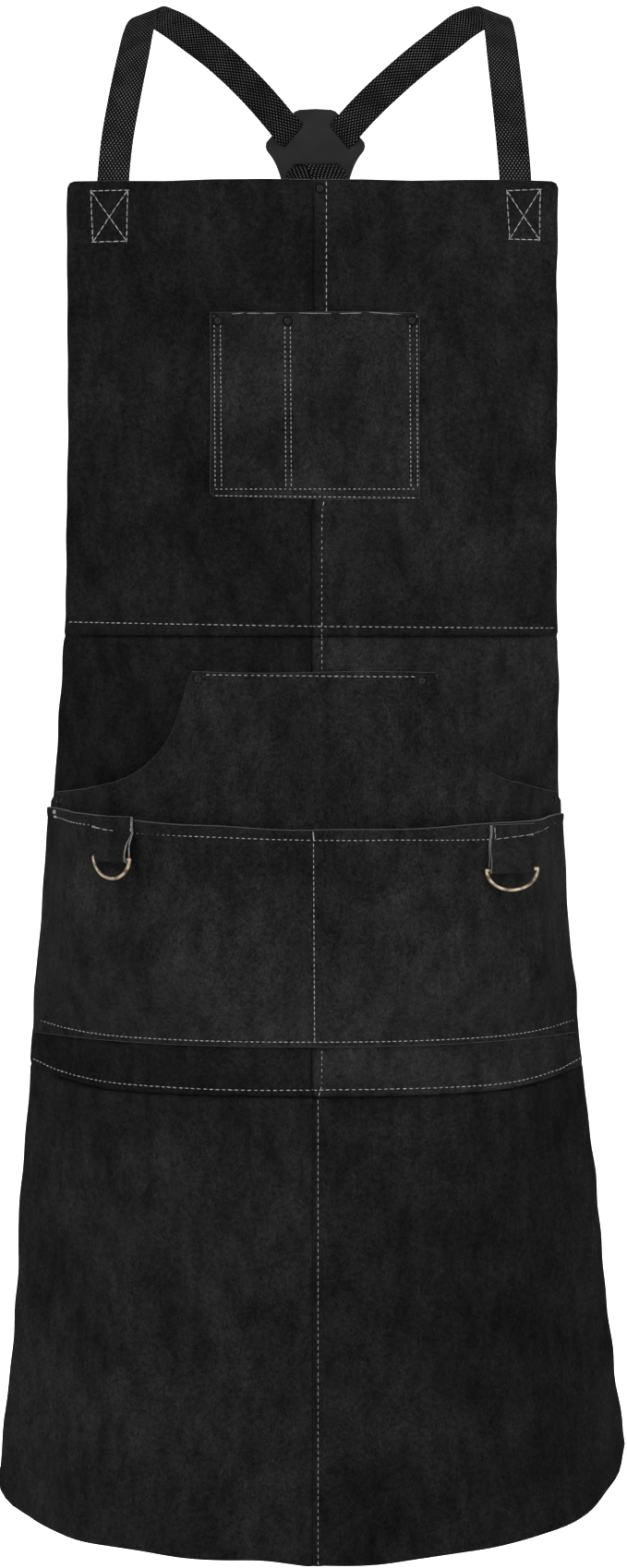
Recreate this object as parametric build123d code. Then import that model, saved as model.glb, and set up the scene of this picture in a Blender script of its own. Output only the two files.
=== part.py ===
"""Welding apron in split leather, shaped as it hangs on a wearer.

Origin: midway between the two places where the shoulder straps rest on the shoulders.
Axes: +Z up, -Y out of the front of the apron, +X to the right as the front is seen.
All sizes are in millimetres.
"""
from build123d import *
import math
import os

# ---- driving dimensions: the leather apron ----
FRONT_Y = -120.0            # front centre line of the leather, ahead of the shoulders
WRAP_POWER = 2.6            # how flat the front is before the sides turn back
LEATHER = 1.6
LAYER_GAP = 0.12            # air left between two leather faces that lie together
BIB_TOP = -143.5
WAIST_SEAM = -495.0
SKIRT_SEAM = -849.5
HEM = -1210.0
# distance from the centre line and rise above the hem, along the rounded lower edge on each side
HEM_SHAPE = {
    -1: [(0.0, 0.4), (112.0, 4.0), (199.0, 9.0), (238.0, 19.0), (252.0, 42.0)],
    1: [(0.0, 0.4), (106.0, 6.0), (195.0, 20.0), (235.0, 35.0), (250.0, 66.0)],
}
BIB_CORNER_RADIUS = 6.0
# rows of: height, half width on the left, half width on the right, depth of the wrap at the sides
BODY_SHAPE = [
    (-143.5, 190.0, 188.0, 16.0),
    (-330.0, 190.0, 188.0, 20.0),
    (-420.0, 191.0, 189.0, 34.0),
    (-495.0, 193.0, 190.0, 60.0),
    (-560.0, 200.0, 192.0, 86.0),
    (-630.0, 207.0, 193.5, 105.0),
    (-700.0, 213.0, 198.5, 112.0),
    (-849.5, 225.0, 214.0, 122.0),
    (-1030.0, 239.0, 235.0, 133.0),
    (-1210.0, 253.0, 254.0, 142.0),
]
SECTION_STEP = 45.0         # height between two sections of a lofted panel
STEPS_ACROSS = 14           # curve points of a section between the middle and one edge
ROW_CLEARANCE = 4.0         # a row of BODY_SHAPE nearer than this to an end gets no section

# ---- driving dimensions: the pockets ----
CHEST_LEFT = -79.2
CHEST_RIGHT = 81.4
CHEST_TOP = -245.9
CHEST_BOTTOM = -389.3
CHEST_DIVIDER = -19.9
CHEST_GAP = 8.0
HAND_TOP = -522.5
HAND_TOP_HALF = 95.0
HAND_CORNER = -623.0
HAND_BOTTOM = -807.0
# points of the curved side opening between the top edge and the side, out from the centre line
HAND_OPENING = [(97.0, -526.5), (116.0, -580.0), (143.0, -603.0), (196.0, HAND_CORNER)]
HAND_GAP = 9.2
TOOL_TOP_CENTRE = -643.5
TOOL_TOP_LEFT = -631.0
TOOL_TOP_RIGHT = -637.0
TOOL_BOTTOM = -810.0
TOOL_GAP = 9.8
SEAM_BORDER = 11.0
# how far the raised middle of each wide pocket reaches across, and above and below its seams
HAND_RAISED = 0.90
HAND_BORDER_LOW = 14.0
HAND_BORDER_HIGH = 12.0
TOOL_RAISED = 0.95
TOOL_BORDER_LOW = 9.0
SIDE_WALL = 0.01            # thickness of the raised side walls, as a share across
VALLEY = 0.026              # half width of the tool pocket's sewn valley, as a share across
VALLEY_WALL = 0.009
VALLEY_FLOOR = 0.019
CUT_BEYOND = 8.0            # how far a cavity's cutting solid goes past an open top

# ---- driving dimensions: rings and loops for tools ----
LOOP_WIDTH = 36.0
LOOP_STRIP = 1.5
LOOP_SEWN = 7.0
LOOP_FLEX_GAP = 2.4
LOOP_JOINED = 4.0           # below the seam, where the two layers still lie together
ANCHOR_SPARE = 5.0          # spare depth of the sewn end before it is trimmed to the pocket face
RING_WIRE = 1.5
RING_HALF_WIDTH = 21.5
RING_DROP = 15.6
RING_PLAY = 0.2
LOOP_AIR = 0.4              # between the pocket face and the back of the strip
# side: distance out from the centre, height of the seam, turn about Z, stand-off, free length
LOOPS = {
    "left": (-149.9, -643.5, -48.0, 4.2, 22.6),
    "right": (150.0, -650.0, 22.0, 5.0, 25.2),
}

# ---- driving dimensions: rivets ----
RIVET_CAP_RADIUS = 4.0
RIVET_CAP_HEIGHT = 2.2
RIVET_CAP_RIM = 0.7
RIVET_POST_RADIUS = 1.5
RIVET_BACK_RADIUS = 3.5
RIVET_BACK_HEIGHT = 0.8
RIVET_FIT = 0.05
RIVET_GRIP = 1.0            # how far the post reaches into the cap
RIVET_SHOULDER = 0.4        # from the dome's foot to the edge of the rolled rim
RIVET_AIR = 0.3             # between the leather and the back washer
HOLE_LENGTH = 30.0

# ---- driving dimensions: webbing, back yoke and buckles ----
WEBBING_WIDTH = 25.4
WEBBING = 1.6
STRAP_TAIL_ON_BIB = 47.0
YOKE_CENTRE_X = 1.5
YOKE_FACE_Y = 104.0
YOKE_THICKNESS = 2.4
# half width and height of the corners of the yoke, from its top edge to its foot
YOKE_OUTLINE = [(17.0, -66.0), (38.5, -91.0), (40.5, -96.5), (31.5, -112.0), (26.0, -138.0)]
# distance from the yoke's centre line, height, turn, length and width of each slot
YOKE_SLOTS = [
    (-19.6, -87.5, 49.0, 27.0, 5.0),
    (20.5, -87.1, -51.0, 27.0, 5.0),
    (0.6, -113.2, 0.0, 47.0, 5.6),
]
BUCKLE_WIDTH = 36.0
BUCKLE_HEIGHT = 11.0
BUCKLE_WALL = 1.8
BUCKLE_CORNER = 3.0
BUCKLE_RAIL = 4.4           # width of each rail beside the webbing
SOCKET_RAIL_HEIGHT = 5.0
SOCKET_WINDOW = 14.0        # length of the side openings where the prongs are pressed
SOCKET_WINDOW_CENTRE = 44.0
SOCKET_START = 17.0
SOCKET_BODY = 27.0
SOCKET_MOUTH = 62.0
PLUG_BLOCK = 8.0            # length of the plug's solid base
PLUG_RAIL_HEIGHT = 5.5
PRONG_REACH = 26.0
PRONG_OUT = 11.0            # from the middle of the plug to the middle of a prong
PRONG_WIDTH = 3.2
PRONG_FIT = 0.8             # play between the prongs and the socket, front to back
CATCH_LENGTH = 7.0
CATCH_WIDTH = 5.2
TONGUE_LENGTH = 18.0
TONGUE_WIDTH = 5.0
PLUG_BASE = SOCKET_MOUTH + 0.4
PLUG_END = 96.0
BAR_RADIUS = 1.8
GRIP_BAR = PLUG_BASE + 17.0
END_BAR = PLUG_END - 3.0
STRAP_END = PLUG_END + 22.0
BAR_AIR = 0.3
BAR_TURN = BAR_RADIUS + BAR_AIR + WEBBING / 2
TAB_AIR = 1.3
CROSSING_STEP = 2.3
TAB_EDGE = {"left": (-200.6, -17.4, -618.4), "right": (188.0, -17.4, -618.4)}
# share across and drop below the edge point, along the sewn end of a tab
TAB_SEWN = [(0.86, 26.0), (0.90, 19.0), (0.94, 12.0), (0.98, 5.0)]
TAB_RISE = 0.96             # how steeply the sewn end climbs towards the edge
TAB_FREE = 6.0              # along the pull, where the tab leaves the leather
TAB_RETURN = 4.0            # along the pull, where its turned end stops
STRAP_PULL = (-0.22, 0.70, 0.68)
# distance beyond the plug's end bar and rise from its plane, along the hanging free end
TAIL = [(0.0, 0.0), (15.0, 0.6), (48.0, 4.0)]
STRAP_LEAD = 26.0           # last free stretch before the strap is in line with the plug


# ---- the wrapped shape that all the leather follows ----
def body_values(height):
    """Half widths and wrap depth at one height, straight between the rows of BODY_SHAPE."""
    rows = BODY_SHAPE
    for upper, lower in zip(rows, rows[1:]):
        if height >= lower[0] or lower is rows[-1]:
            share = (height - upper[0]) / (lower[0] - upper[0])
            return [a + (b - a) * share for a, b in zip(upper[1:], lower[1:])]


def wrap_normal(height, across):
    """Outward horizontal direction of the leather; across runs from -1 to 1, edge to edge."""
    left, right, depth = body_values(height)
    half = left if across < 0 else right
    slope = math.copysign(depth * WRAP_POWER * abs(across) ** (WRAP_POWER - 1) / half, across)
    length = math.hypot(slope, 1.0)
    return Vector(slope / length, -1.0 / length, 0)


def wrap_point(height, across, offset):
    """Point at an offset outwards from the outer face of the body leather."""
    left, right, depth = body_values(height)
    half = left if across < 0 else right
    base = Vector(across * half, FRONT_Y + depth * abs(across) ** WRAP_POWER, height)
    return base + wrap_normal(height, across) * offset


def across_at(height, x):
    """The across value of the leather at a distance x from the centre line."""
    left, right, _ = body_values(height)
    return x / (left if x < 0 else right)


def block(across_from, across_to, low, high, inner, outer):
    """Solid between two across values, two heights and two offsets from the body leather."""
    inside = [row[0] for row in BODY_SHAPE if low + ROW_CLEARANCE < row[0] < high - ROW_CLEARANCE]
    marks = [high] + inside + [low]
    heights = [high]
    for upper, lower in zip(marks, marks[1:]):
        count = max(1, round((upper - lower) / SECTION_STEP))
        heights += [upper + (lower - upper) * (i + 1) / count for i in range(count)]
    count = max(4, round(abs(across_to - across_from) * STEPS_ACROSS))
    steps = [across_from + (across_to - across_from) * i / count for i in range(count + 1)]
    sections = []
    for height in heights:
        front = Spline(*[wrap_point(height, step, outer) for step in steps])
        back = Spline(*[wrap_point(height, step, inner) for step in steps])
        sides = [Line(front @ 0, back @ 0), Line(front @ 1, back @ 1)]
        sections.append(make_face([front, back] + sides))
    return loft(sections, ruled=True)


def front_prism(outline):
    """Cutting solid with a front-view outline, through the whole depth of the apron."""
    return extrude(Plane.XZ * outline, amount=260, both=True)


def save(shape, name):
    export_step(shape, f"parts/{name}.step")


# ---- rivets ----
def rivet_frame(height, x, offset):
    """Plane on the leather, its Z axis pointing outwards, square to the sloping leather."""
    across = across_at(height, x)
    sideways = wrap_point(height, across + 0.01, 0) - wrap_point(height, across - 0.01, 0)
    upwards = wrap_point(height + 2, across, 0) - wrap_point(height - 2, across, 0)
    outwards = sideways.cross(upwards).normalized()
    return Plane(origin=wrap_point(height, across, 0) + outwards * offset, z_dir=outwards)


# rows of: height, distance from the centre line, leather layers under the cap, webbing layers behind
RIVETS = [
    (-150.1, 5.0, 1, 0),
    (-252.0, -73.6, 2, 0),
    (-252.3, -20.0, 2, 0),
    (-251.6, 75.9, 2, 0),
    (-527.6, -89.5, 2, 0),
    (-529.0, 84.0, 2, 0),
    (-625.8, -199.0, 2, 1),
    (-625.8, 188.0, 2, 1),
]


def rivet_top(layers):
    return (layers - 1) * (LEATHER + LAYER_GAP)


def rivet_holes():
    holes = []
    for height, x, _, _ in RIVETS:
        frame = rivet_frame(height, x, 0)
        holes.append(frame * Cylinder(RIVET_POST_RADIUS + RIVET_FIT, HOLE_LENGTH))
    return holes


def rivet_cap(height, x, layers, _):
    """Domed cap with a rolled rim, hollow where the post is pressed in."""
    frame = rivet_frame(height, x, rivet_top(layers) + RIVET_FIT)
    chord = RIVET_CAP_RADIUS - RIVET_SHOULDER
    rise = RIVET_CAP_HEIGHT - RIVET_CAP_RIM
    dome_radius = (chord**2 + rise**2) / (2 * rise)
    dome = Pos(0, 0, RIVET_CAP_HEIGHT - dome_radius) * Sphere(dome_radius)
    keep = Pos(0, 0, RIVET_CAP_RIM + rise / 2) * Cylinder(2 * RIVET_CAP_RADIUS, rise)
    rim = Pos(0, 0, RIVET_CAP_RIM / 2) * Cylinder(RIVET_CAP_RADIUS, RIVET_CAP_RIM)
    bore = Pos(0, 0, RIVET_GRIP / 2) * Cylinder(RIVET_POST_RADIUS, RIVET_GRIP)
    return frame * (dome & keep) + frame * rim - frame * bore


def rivet_post(height, x, layers, webbing_layers):
    """Flat back washer and the post that goes through the leather into the cap."""
    top = rivet_top(layers) + RIVET_FIT + RIVET_GRIP
    back = -LEATHER - RIVET_AIR - webbing_layers * (WEBBING + 2 * TAB_AIR)
    frame = rivet_frame(height, x, 0)
    post = Pos(0, 0, (top + back) / 2) * Cylinder(RIVET_POST_RADIUS, top - back)
    washer = Pos(0, 0, back - RIVET_BACK_HEIGHT / 2) * Cylinder(RIVET_BACK_RADIUS, RIVET_BACK_HEIGHT)
    return frame * (post + washer)


# ---- leather panels ----
def hem_cut():
    """Everything below the hem, whose corners are rounded and lift towards the sides."""
    below = HEM - 60
    beyond = 330
    edges = []
    for side in (-1, 1):
        hem = [(side * out, HEM + rise) for out, rise in HEM_SHAPE[side]]
        edges.append(Spline(*hem))
        edges.append(Polyline(hem[-1], (side * beyond, hem[-1][1]), (side * beyond, below)))
    edges.append(Line((-beyond, below), (beyond, below)))
    return front_prism(make_face(edges))


def corner_cut(side):
    """Small rounding of a top corner of the bib."""
    half = BODY_SHAPE[0][1] if side < 0 else BODY_SHAPE[0][2]
    radius = BIB_CORNER_RADIUS
    spare = 4.0
    centre = Pos(side * (half - radius), BIB_TOP - radius, 0)
    shift = spare - radius / 2
    size = radius + 2 * spare
    square = Pos(side * (half + shift), BIB_TOP + shift, 0) * Rectangle(size, size)
    return front_prism(square - centre * Circle(radius))


def panel(side, low, high):
    span = (-1, 0) if side < 0 else (0, 1)
    return block(span[0], span[1], low, high, -LEATHER, 0)


def make_panels(holes):
    panels = {}
    for word, side in (("left", -1), ("right", 1)):
        bib = panel(side, WAIST_SEAM, BIB_TOP) - corner_cut(side)
        waist = panel(side, SKIRT_SEAM, WAIST_SEAM)
        skirt = panel(side, HEM, SKIRT_SEAM) - hem_cut()
        for hole, (height, x, _, _) in zip(holes, RIVETS):
            if x * side > 0:
                if height > WAIST_SEAM:
                    bib -= hole
                else:
                    waist -= hole
        panels[f"{word}_bib_panel"] = bib
        panels[f"{word}_waist_panel"] = waist
        panels[f"{word}_skirt_panel"] = skirt
    return panels


# ---- pockets ----
def pouch(edges, low, top, start, roof):
    """Raised front of one pocket: walls all round but the top, LEATHER thick, and its cavity."""
    left, right = edges
    middle = (low + top) / 2
    wall = LEATHER / abs(body_values(middle)[0])
    shell = block(left, right, low, top, start, roof + LEATHER)
    cavity = block(left + wall, right - wall, low + LEATHER, top + CUT_BEYOND, start - 2 * LEATHER, roof)
    return shell, cavity


def make_chest_pocket():
    """One leather piece with a narrow pencil slot on the left and a wide pocket on the right."""
    def across(x):
        return across_at(CHEST_TOP, x)

    border = SEAM_BORDER
    left = across(CHEST_LEFT)
    right = across(CHEST_RIGHT)
    plate = block(left, right, CHEST_BOTTOM, CHEST_TOP, LAYER_GAP, LAYER_GAP + LEATHER)
    pencil = (across(CHEST_LEFT + border), across(CHEST_DIVIDER - border / 2))
    main = (across(CHEST_DIVIDER + border / 2), across(CHEST_RIGHT - border))
    pocket = plate
    for edges in (pencil, main):
        shell, cavity = pouch(edges, CHEST_BOTTOM + border, CHEST_TOP, LAYER_GAP + LEATHER / 2, CHEST_GAP)
        pocket = pocket + shell - cavity
    return pocket


def hand_openings():
    """The two curved side openings of the hand pocket, cut from its upper corners."""
    above = HAND_TOP + 6
    beyond = 290
    cuts = []
    for side in (-1, 1):
        opening = [(side * out, height) for out, height in HAND_OPENING]
        corner = (side * HAND_TOP_HALF, above)
        far = side * beyond
        border = Polyline(opening[-1], (far, HAND_CORNER), (far, above), corner, opening[0])
        cuts.append(front_prism(make_face([Spline(*opening), border])))
    return cuts


HAND_ROOF = LAYER_GAP + HAND_GAP


def make_hand_pocket():
    """Wide pocket with a sewn top edge and a curved opening at each side."""
    plate = block(-1, 1, HAND_BOTTOM, HAND_TOP, LAYER_GAP, LAYER_GAP + LEATHER)
    low = HAND_BOTTOM + HAND_BORDER_LOW
    high = HAND_TOP - HAND_BORDER_HIGH
    reach = HAND_RAISED - SIDE_WALL
    shell = block(-HAND_RAISED, HAND_RAISED, low, high, LAYER_GAP + LEATHER / 2, HAND_ROOF + LEATHER)
    cavity = block(-reach, reach, low + LEATHER, high - LEATHER, -LEATHER, HAND_ROOF)
    pocket = plate + shell - cavity
    for cut in hand_openings():
        pocket -= cut
    return pocket


TOOL_BASE = 2 * LAYER_GAP + LEATHER
DIVIDER_BASE = HAND_ROOF + LEATHER + LAYER_GAP
TOOL_ROOF = DIVIDER_BASE + TOOL_GAP


def make_tool_pocket():
    """Two open-topped pockets in one leather piece, divided by a seam on the centre line."""
    top = TOOL_TOP_LEFT + LEATHER
    above = top + CUT_BEYOND
    beyond = 260
    plate = block(-1, 1, TOOL_BOTTOM, top, TOOL_BASE, TOOL_BASE + LEATHER)
    raised_low = TOOL_BOTTOM + TOOL_BORDER_LOW
    floor = raised_low + LEATHER
    shell = block(-TOOL_RAISED, TOOL_RAISED, raised_low, top, TOOL_BASE + LEATHER / 2, TOOL_ROOF + LEATHER)
    pocket = plate + shell
    inner = VALLEY + VALLEY_WALL
    outer = TOOL_RAISED - SIDE_WALL
    for edges in ((-outer, -inner), (inner, outer)):
        pocket -= block(edges[0], edges[1], floor, above, LAYER_GAP, TOOL_ROOF)
    under = VALLEY + VALLEY_FLOOR
    pocket -= block(-under, under, floor, above, LAYER_GAP, DIVIDER_BASE)
    pocket -= block(-VALLEY, VALLEY, floor, above, DIVIDER_BASE + LEATHER, TOOL_ROOF + 2 * LEATHER)
    left_half = body_values(TOOL_TOP_LEFT)[0]
    right_half = body_values(TOOL_TOP_RIGHT)[1]
    rim = Polyline((-beyond, TOOL_TOP_LEFT), (-left_half, TOOL_TOP_LEFT), (0, TOOL_TOP_CENTRE),
                   (right_half, TOOL_TOP_RIGHT), (beyond, TOOL_TOP_RIGHT), (beyond, above),
                   (-beyond, above), close=True)
    return pocket - front_prism(make_face(rim))


# ---- tool loops and their rings ----
def loop_frame(word):
    """Plane on the pocket face at the loop's seam: X across the loop, Y up, Z outwards."""
    x, height, turn, stand_off, _ = LOOPS[word]
    across = across_at(height, x)
    for _ in range(8):
        point = wrap_point(height, across, TOOL_ROOF + LEATHER)
        across += across_at(height, x - point.X)
    angle = math.radians(turn)
    outward = Vector(math.sin(angle), -math.cos(angle), 0)
    sideways = Vector(math.cos(angle), math.sin(angle), 0)
    return Plane(origin=point + outward * stand_off, x_dir=sideways, z_dir=outward)


def loop_levels():
    """Distances out from the pocket face: back of the strip, bar of the ring, front of the bight."""
    back = LOOP_AIR
    bar = back + LOOP_STRIP + RING_PLAY + RING_WIRE
    front = bar + RING_WIRE + RING_PLAY + LOOP_STRIP
    return back, bar, front


def make_loop(word):
    """Folded strip: two layers joined at the top, opening round the bar of the ring."""
    length = LOOPS[word][4]
    back, bar, front = loop_levels()
    inner = RING_WIRE + RING_PLAY
    top = back + 2 * LOOP_STRIP
    outline = make_face(Polyline((0, back), (-length, back), (-length, front), (0, top), close=True))
    outline += Pos(-length, bar, 0) * Circle(inner + LOOP_STRIP)
    tip = (-LOOP_JOINED, back + LOOP_STRIP)
    hollow = make_face(Polyline(tip, (-length, bar - inner), (-length, bar + inner), close=True))
    hollow += Pos(-length, bar, 0) * Circle(inner)
    strip = extrude(Plane.YZ * (outline - hollow), amount=LOOP_WIDTH / 2, both=True)
    return loop_frame(word) * strip


def make_loop_anchor(word, tool_pocket):
    """The sewn end of the loop's strip, lying on the hem of the tool pocket."""
    back = loop_levels()[0]
    stand_off = LOOPS[word][3]
    depth = 2 * LOOP_STRIP + stand_off + LOOP_SEWN + ANCHOR_SPARE
    centre = Pos(0, LOOP_FLEX_GAP + LOOP_SEWN / 2, back + 2 * LOOP_STRIP - depth / 2)
    end = loop_frame(word) * centre * Box(LOOP_WIDTH, LOOP_SEWN, depth)
    height = LOOPS[word][1]
    span = (-1, -0.2) if word == "left" else (0.2, 1)
    low = height - LOOP_WIDTH
    high = height + LOOP_WIDTH
    pocket_room = block(span[0], span[1], low, high, -LOOP_WIDTH, TOOL_ROOF + LEATHER - LOOP_AIR)
    return end - pocket_room - tool_pocket


def make_ring(word):
    """D-shaped ring of round wire, its straight bar in the bight of the loop."""
    length = LOOPS[word][4]
    bar_level = loop_levels()[1]
    bar = Rot(0, 90, 0) * Cylinder(RING_WIRE, 2 * RING_HALF_WIDTH)
    path = EllipticalCenterArc((0, 0), RING_HALF_WIDTH, RING_DROP, start_angle=180, arc_size=180)
    section = Plane(origin=path @ 0, z_dir=path % 0) * Circle(RING_WIRE)
    bow = sweep(section, path=path)
    ends = [Pos(side * RING_HALF_WIDTH, 0, 0) * Sphere(RING_WIRE) for side in (-1, 1)]
    ring = bow + bar + ends[0] + ends[1]
    return loop_frame(word) * Pos(0, -length, bar_level) * ring


# ---- webbing ----
def cross_sections(stations, width=WEBBING_WIDTH, thickness=WEBBING):
    """Section of a flat band at each station of (point, direction of a line across the band)."""
    points = [Vector(*point) for point, _ in stations]
    sections = []
    for i, (_, line) in enumerate(stations):
        before = points[max(i - 1, 0)]
        after = points[min(i + 1, len(points) - 1)]
        run = (after - before).normalized()
        across = Vector(*line).normalized()
        normal = run.cross(across)
        half = across * (width / 2 / normal.length)
        rise = normal.normalized() * (thickness / 2)
        corners = [half + rise, half - rise, half * -1 - rise, half * -1 + rise]
        sections.append(make_face(Polyline(*[points[i] + corner for corner in corners], close=True)))
    return sections


def sewn_on_bib(side, x, height):
    """Station of a strap's end, flat against the inner face of the bib leather."""
    across = across_at(height, x)
    normal = wrap_normal(height, across)
    point = wrap_point(height, across, -LEATHER - 0.4 - WEBBING / 2)
    return tuple(point), (-normal.Y * side, normal.X * side, 0.0)


# stations along each shoulder strap, from its sewn end on the bib over the shoulder to the yoke
LEFT_SHOULDER = [
    sewn_on_bib(1, -156.6, BIB_TOP - STRAP_TAIL_ON_BIB),
    sewn_on_bib(1, -155.2, BIB_TOP),
    ((-152.2, -102.5, -115.0), (0.98, -0.15, -0.10)),
    ((-147.2, -88.0, -80.0), (0.98, -0.12, -0.14)),
    ((-140.9, -62.0, -41.0), (0.97, -0.20, -0.10)),
    ((-137.8, -42.0, -20.5), (0.95, -0.30, 0.00)),
    ((-134.6, -20.0, -5.5), (0.88, -0.42, 0.18)),
    ((-130.0, 2.0, 0.8), (0.83, -0.46, 0.30)),
    ((-121.0, 24.0, -1.2), (0.76, -0.40, 0.50)),
    ((-109.0, 43.0, -6.0), (0.70, -0.22, 0.66)),
    ((-97.0, 58.0, -13.0), (0.66, -0.08, 0.74)),
    ((-79.0, 76.0, -25.0), (0.66, 0.0, 0.75)),
    ((-60.0, 89.0, -41.0), (0.68, 0.0, 0.73)),
    ((-42.0, 97.0, -59.0), (0.72, 0.0, 0.69)),
    ((-26.0, 101.2, -77.5), (0.75, 0.0, 0.66)),
    ((-21.2, 102.4, -83.2), (0.75, 0.0, 0.66)),
    ((-15.6, 106.6, -89.6), (0.75, 0.0, 0.66)),
    ((-10.8, 107.6, -94.6), (0.80, 0.0, 0.60)),
    ((-1.0, 107.6, -103.6), (0.96, 0.0, 0.28)),
    ((4.6, 107.4, -108.4), (1.0, 0.0, 0.0)),
    ((9.8, 101.3, -114.9), (1.0, 0.0, 0.0)),
    ((11.8, 100.9, -118.6), (1.0, 0.0, 0.0)),
    ((17.0, 100.9, -130.0), (0.96, 0.0, 0.28)),
]
RIGHT_SHOULDER = [
    sewn_on_bib(1, 157.2, BIB_TOP - STRAP_TAIL_ON_BIB),
    sewn_on_bib(1, 156.2, BIB_TOP),
    ((153.8, -102.5, -115.0), (0.98, 0.15, 0.06)),
    ((151.0, -88.0, -80.0), (0.98, 0.14, 0.08)),
    ((148.0, -62.0, -41.0), (0.97, 0.20, 0.06)),
    ((146.6, -42.0, -20.5), (0.95, 0.30, 0.00)),
    ((145.0, -20.0, -5.5), (0.88, 0.42, -0.14)),
    ((142.0, 2.0, 0.8), (0.83, 0.46, -0.28)),
    ((134.5, 24.0, 0.6), (0.76, 0.40, -0.46)),
    ((122.0, 44.0, -3.4), (0.70, 0.24, -0.64)),
    ((106.0, 64.0, -13.6), (0.64, 0.08, -0.76)),
    ((84.0, 82.0, -28.8), (0.62, 0.0, -0.78)),
    ((63.5, 92.5, -45.6), (0.64, 0.0, -0.76)),
    ((45.0, 98.0, -62.6), (0.68, 0.0, -0.72)),
    ((29.6, 101.2, -79.0), (0.75, 0.0, -0.66)),
    ((25.0, 102.4, -84.4), (0.75, 0.0, -0.66)),
    ((19.2, 107.4, -90.8), (0.75, 0.0, -0.66)),
    ((14.6, 109.7, -95.6), (0.80, 0.0, -0.60)),
    ((5.0, 109.8, -104.2), (0.96, 0.0, -0.28)),
    ((-0.4, 109.5, -109.0), (1.0, 0.0, 0.0)),
    ((-5.6, 103.5, -115.6), (1.0, 0.0, 0.0)),
    ((-7.6, 103.0, -119.2), (1.0, 0.0, 0.0)),
    ((-12.8, 103.0, -130.6), (0.96, 0.0, -0.28)),
]
# stations of the lower run on the right side, from below the yoke to the waist buckle
LOWER_RUN = [
    ((21.5, 101.0, -143.0), (0.94, 0.02, 0.34)),
    ((36.5, 104.8, -184.0), (0.92, 0.05, 0.38)),
    ((62.0, 111.0, -275.0), (0.92, 0.08, 0.36)),
    ((104.0, 112.0, -375.0), (0.86, -0.26, 0.40)),
    ((138.0, 101.0, -452.0), (0.66, -0.62, 0.36)),
]


# ---- back yoke ----
def make_yoke():
    """Leather plate with two slanted slots and one level slot for the crossing straps."""
    top, shoulder, tip, waist, foot = YOKE_OUTLINE
    edges = [Line((-top[0], top[1]), top), Line((-foot[0], foot[1]), foot)]
    for side in (-1, 1):
        corners = [(side * half, height) for half, height in (top, shoulder, tip)]
        edges.append(Polyline(*corners))
        edges.append(Spline(corners[-1], (side * waist[0], waist[1]), (side * foot[0], foot[1])))
    face = make_face(edges)
    for place, height, turn, length, width in YOKE_SLOTS:
        face -= Pos(place, height, 0) * Rot(0, 0, turn) * SlotOverall(length, width)
    plate = Pos(YOKE_CENTRE_X, YOKE_FACE_Y, 0) * extrude(Plane.XZ * face, amount=-YOKE_THICKNESS)
    stretch_in_yoke = 10
    for stations in (LEFT_SHOULDER, RIGHT_SHOULDER):
        through = cross_sections(stations[-stretch_in_yoke:], WEBBING_WIDTH + 1.0, WEBBING + 0.6)
        plate -= loft(through, ruled=True)
    return plate


# ---- buckles at the waist ----
def buckle_frame(word):
    """Plane at the sewn edge: X along the pull towards the back, Z out from the wearer."""
    side = -1 if word == "left" else 1
    pull = Vector(STRAP_PULL[0] * side, STRAP_PULL[1], STRAP_PULL[2]).normalized()
    outward = Vector(side, 0, 0)
    outward = (outward - pull * outward.dot(pull)).normalized()
    return Plane(origin=TAB_EDGE[word], x_dir=pull, z_dir=outward)


def side_rails(start, end, height):
    """Two rails beside the webbing, joining the bars of a buckle half to its body."""
    rails = []
    for side in (-1, 1):
        centre = Pos((start + end) / 2, side * (BUCKLE_WIDTH - BUCKLE_RAIL) / 2, 0)
        rails.append(centre * Box(end - start, BUCKLE_RAIL, height))
    return rails


def bar(along):
    return Pos(along, 0, 0) * Rot(90, 0, 0) * Cylinder(BAR_RADIUS, BUCKLE_WIDTH - BUCKLE_RAIL)


def rounded_box(length, width, height):
    return fillet(Box(length, width, height).edges().filter_by(Axis.X), BUCKLE_CORNER)


def make_socket():
    """Female half: a bar for the tab, then a hollow shell open at the mouth and at both sides."""
    length = SOCKET_MOUTH - SOCKET_BODY
    inside = BUCKLE_HEIGHT - 2 * BUCKLE_WALL
    centre = Pos((SOCKET_MOUTH + SOCKET_BODY) / 2, 0, 0)
    shell = centre * rounded_box(length, BUCKLE_WIDTH, BUCKLE_HEIGHT)
    hollow = Pos(BUCKLE_WALL, 0, 0) * centre * Box(length, BUCKLE_WIDTH - 2 * BUCKLE_CORNER, inside)
    window = Pos(SOCKET_WINDOW_CENTRE, 0, 0) * Box(SOCKET_WINDOW, 2 * BUCKLE_WIDTH, inside)
    socket = shell - hollow - window
    for rail in side_rails(SOCKET_START - BAR_RADIUS, SOCKET_BODY + BUCKLE_WALL / 2, SOCKET_RAIL_HEIGHT):
        socket += rail
    return socket + bar(SOCKET_START)


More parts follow.
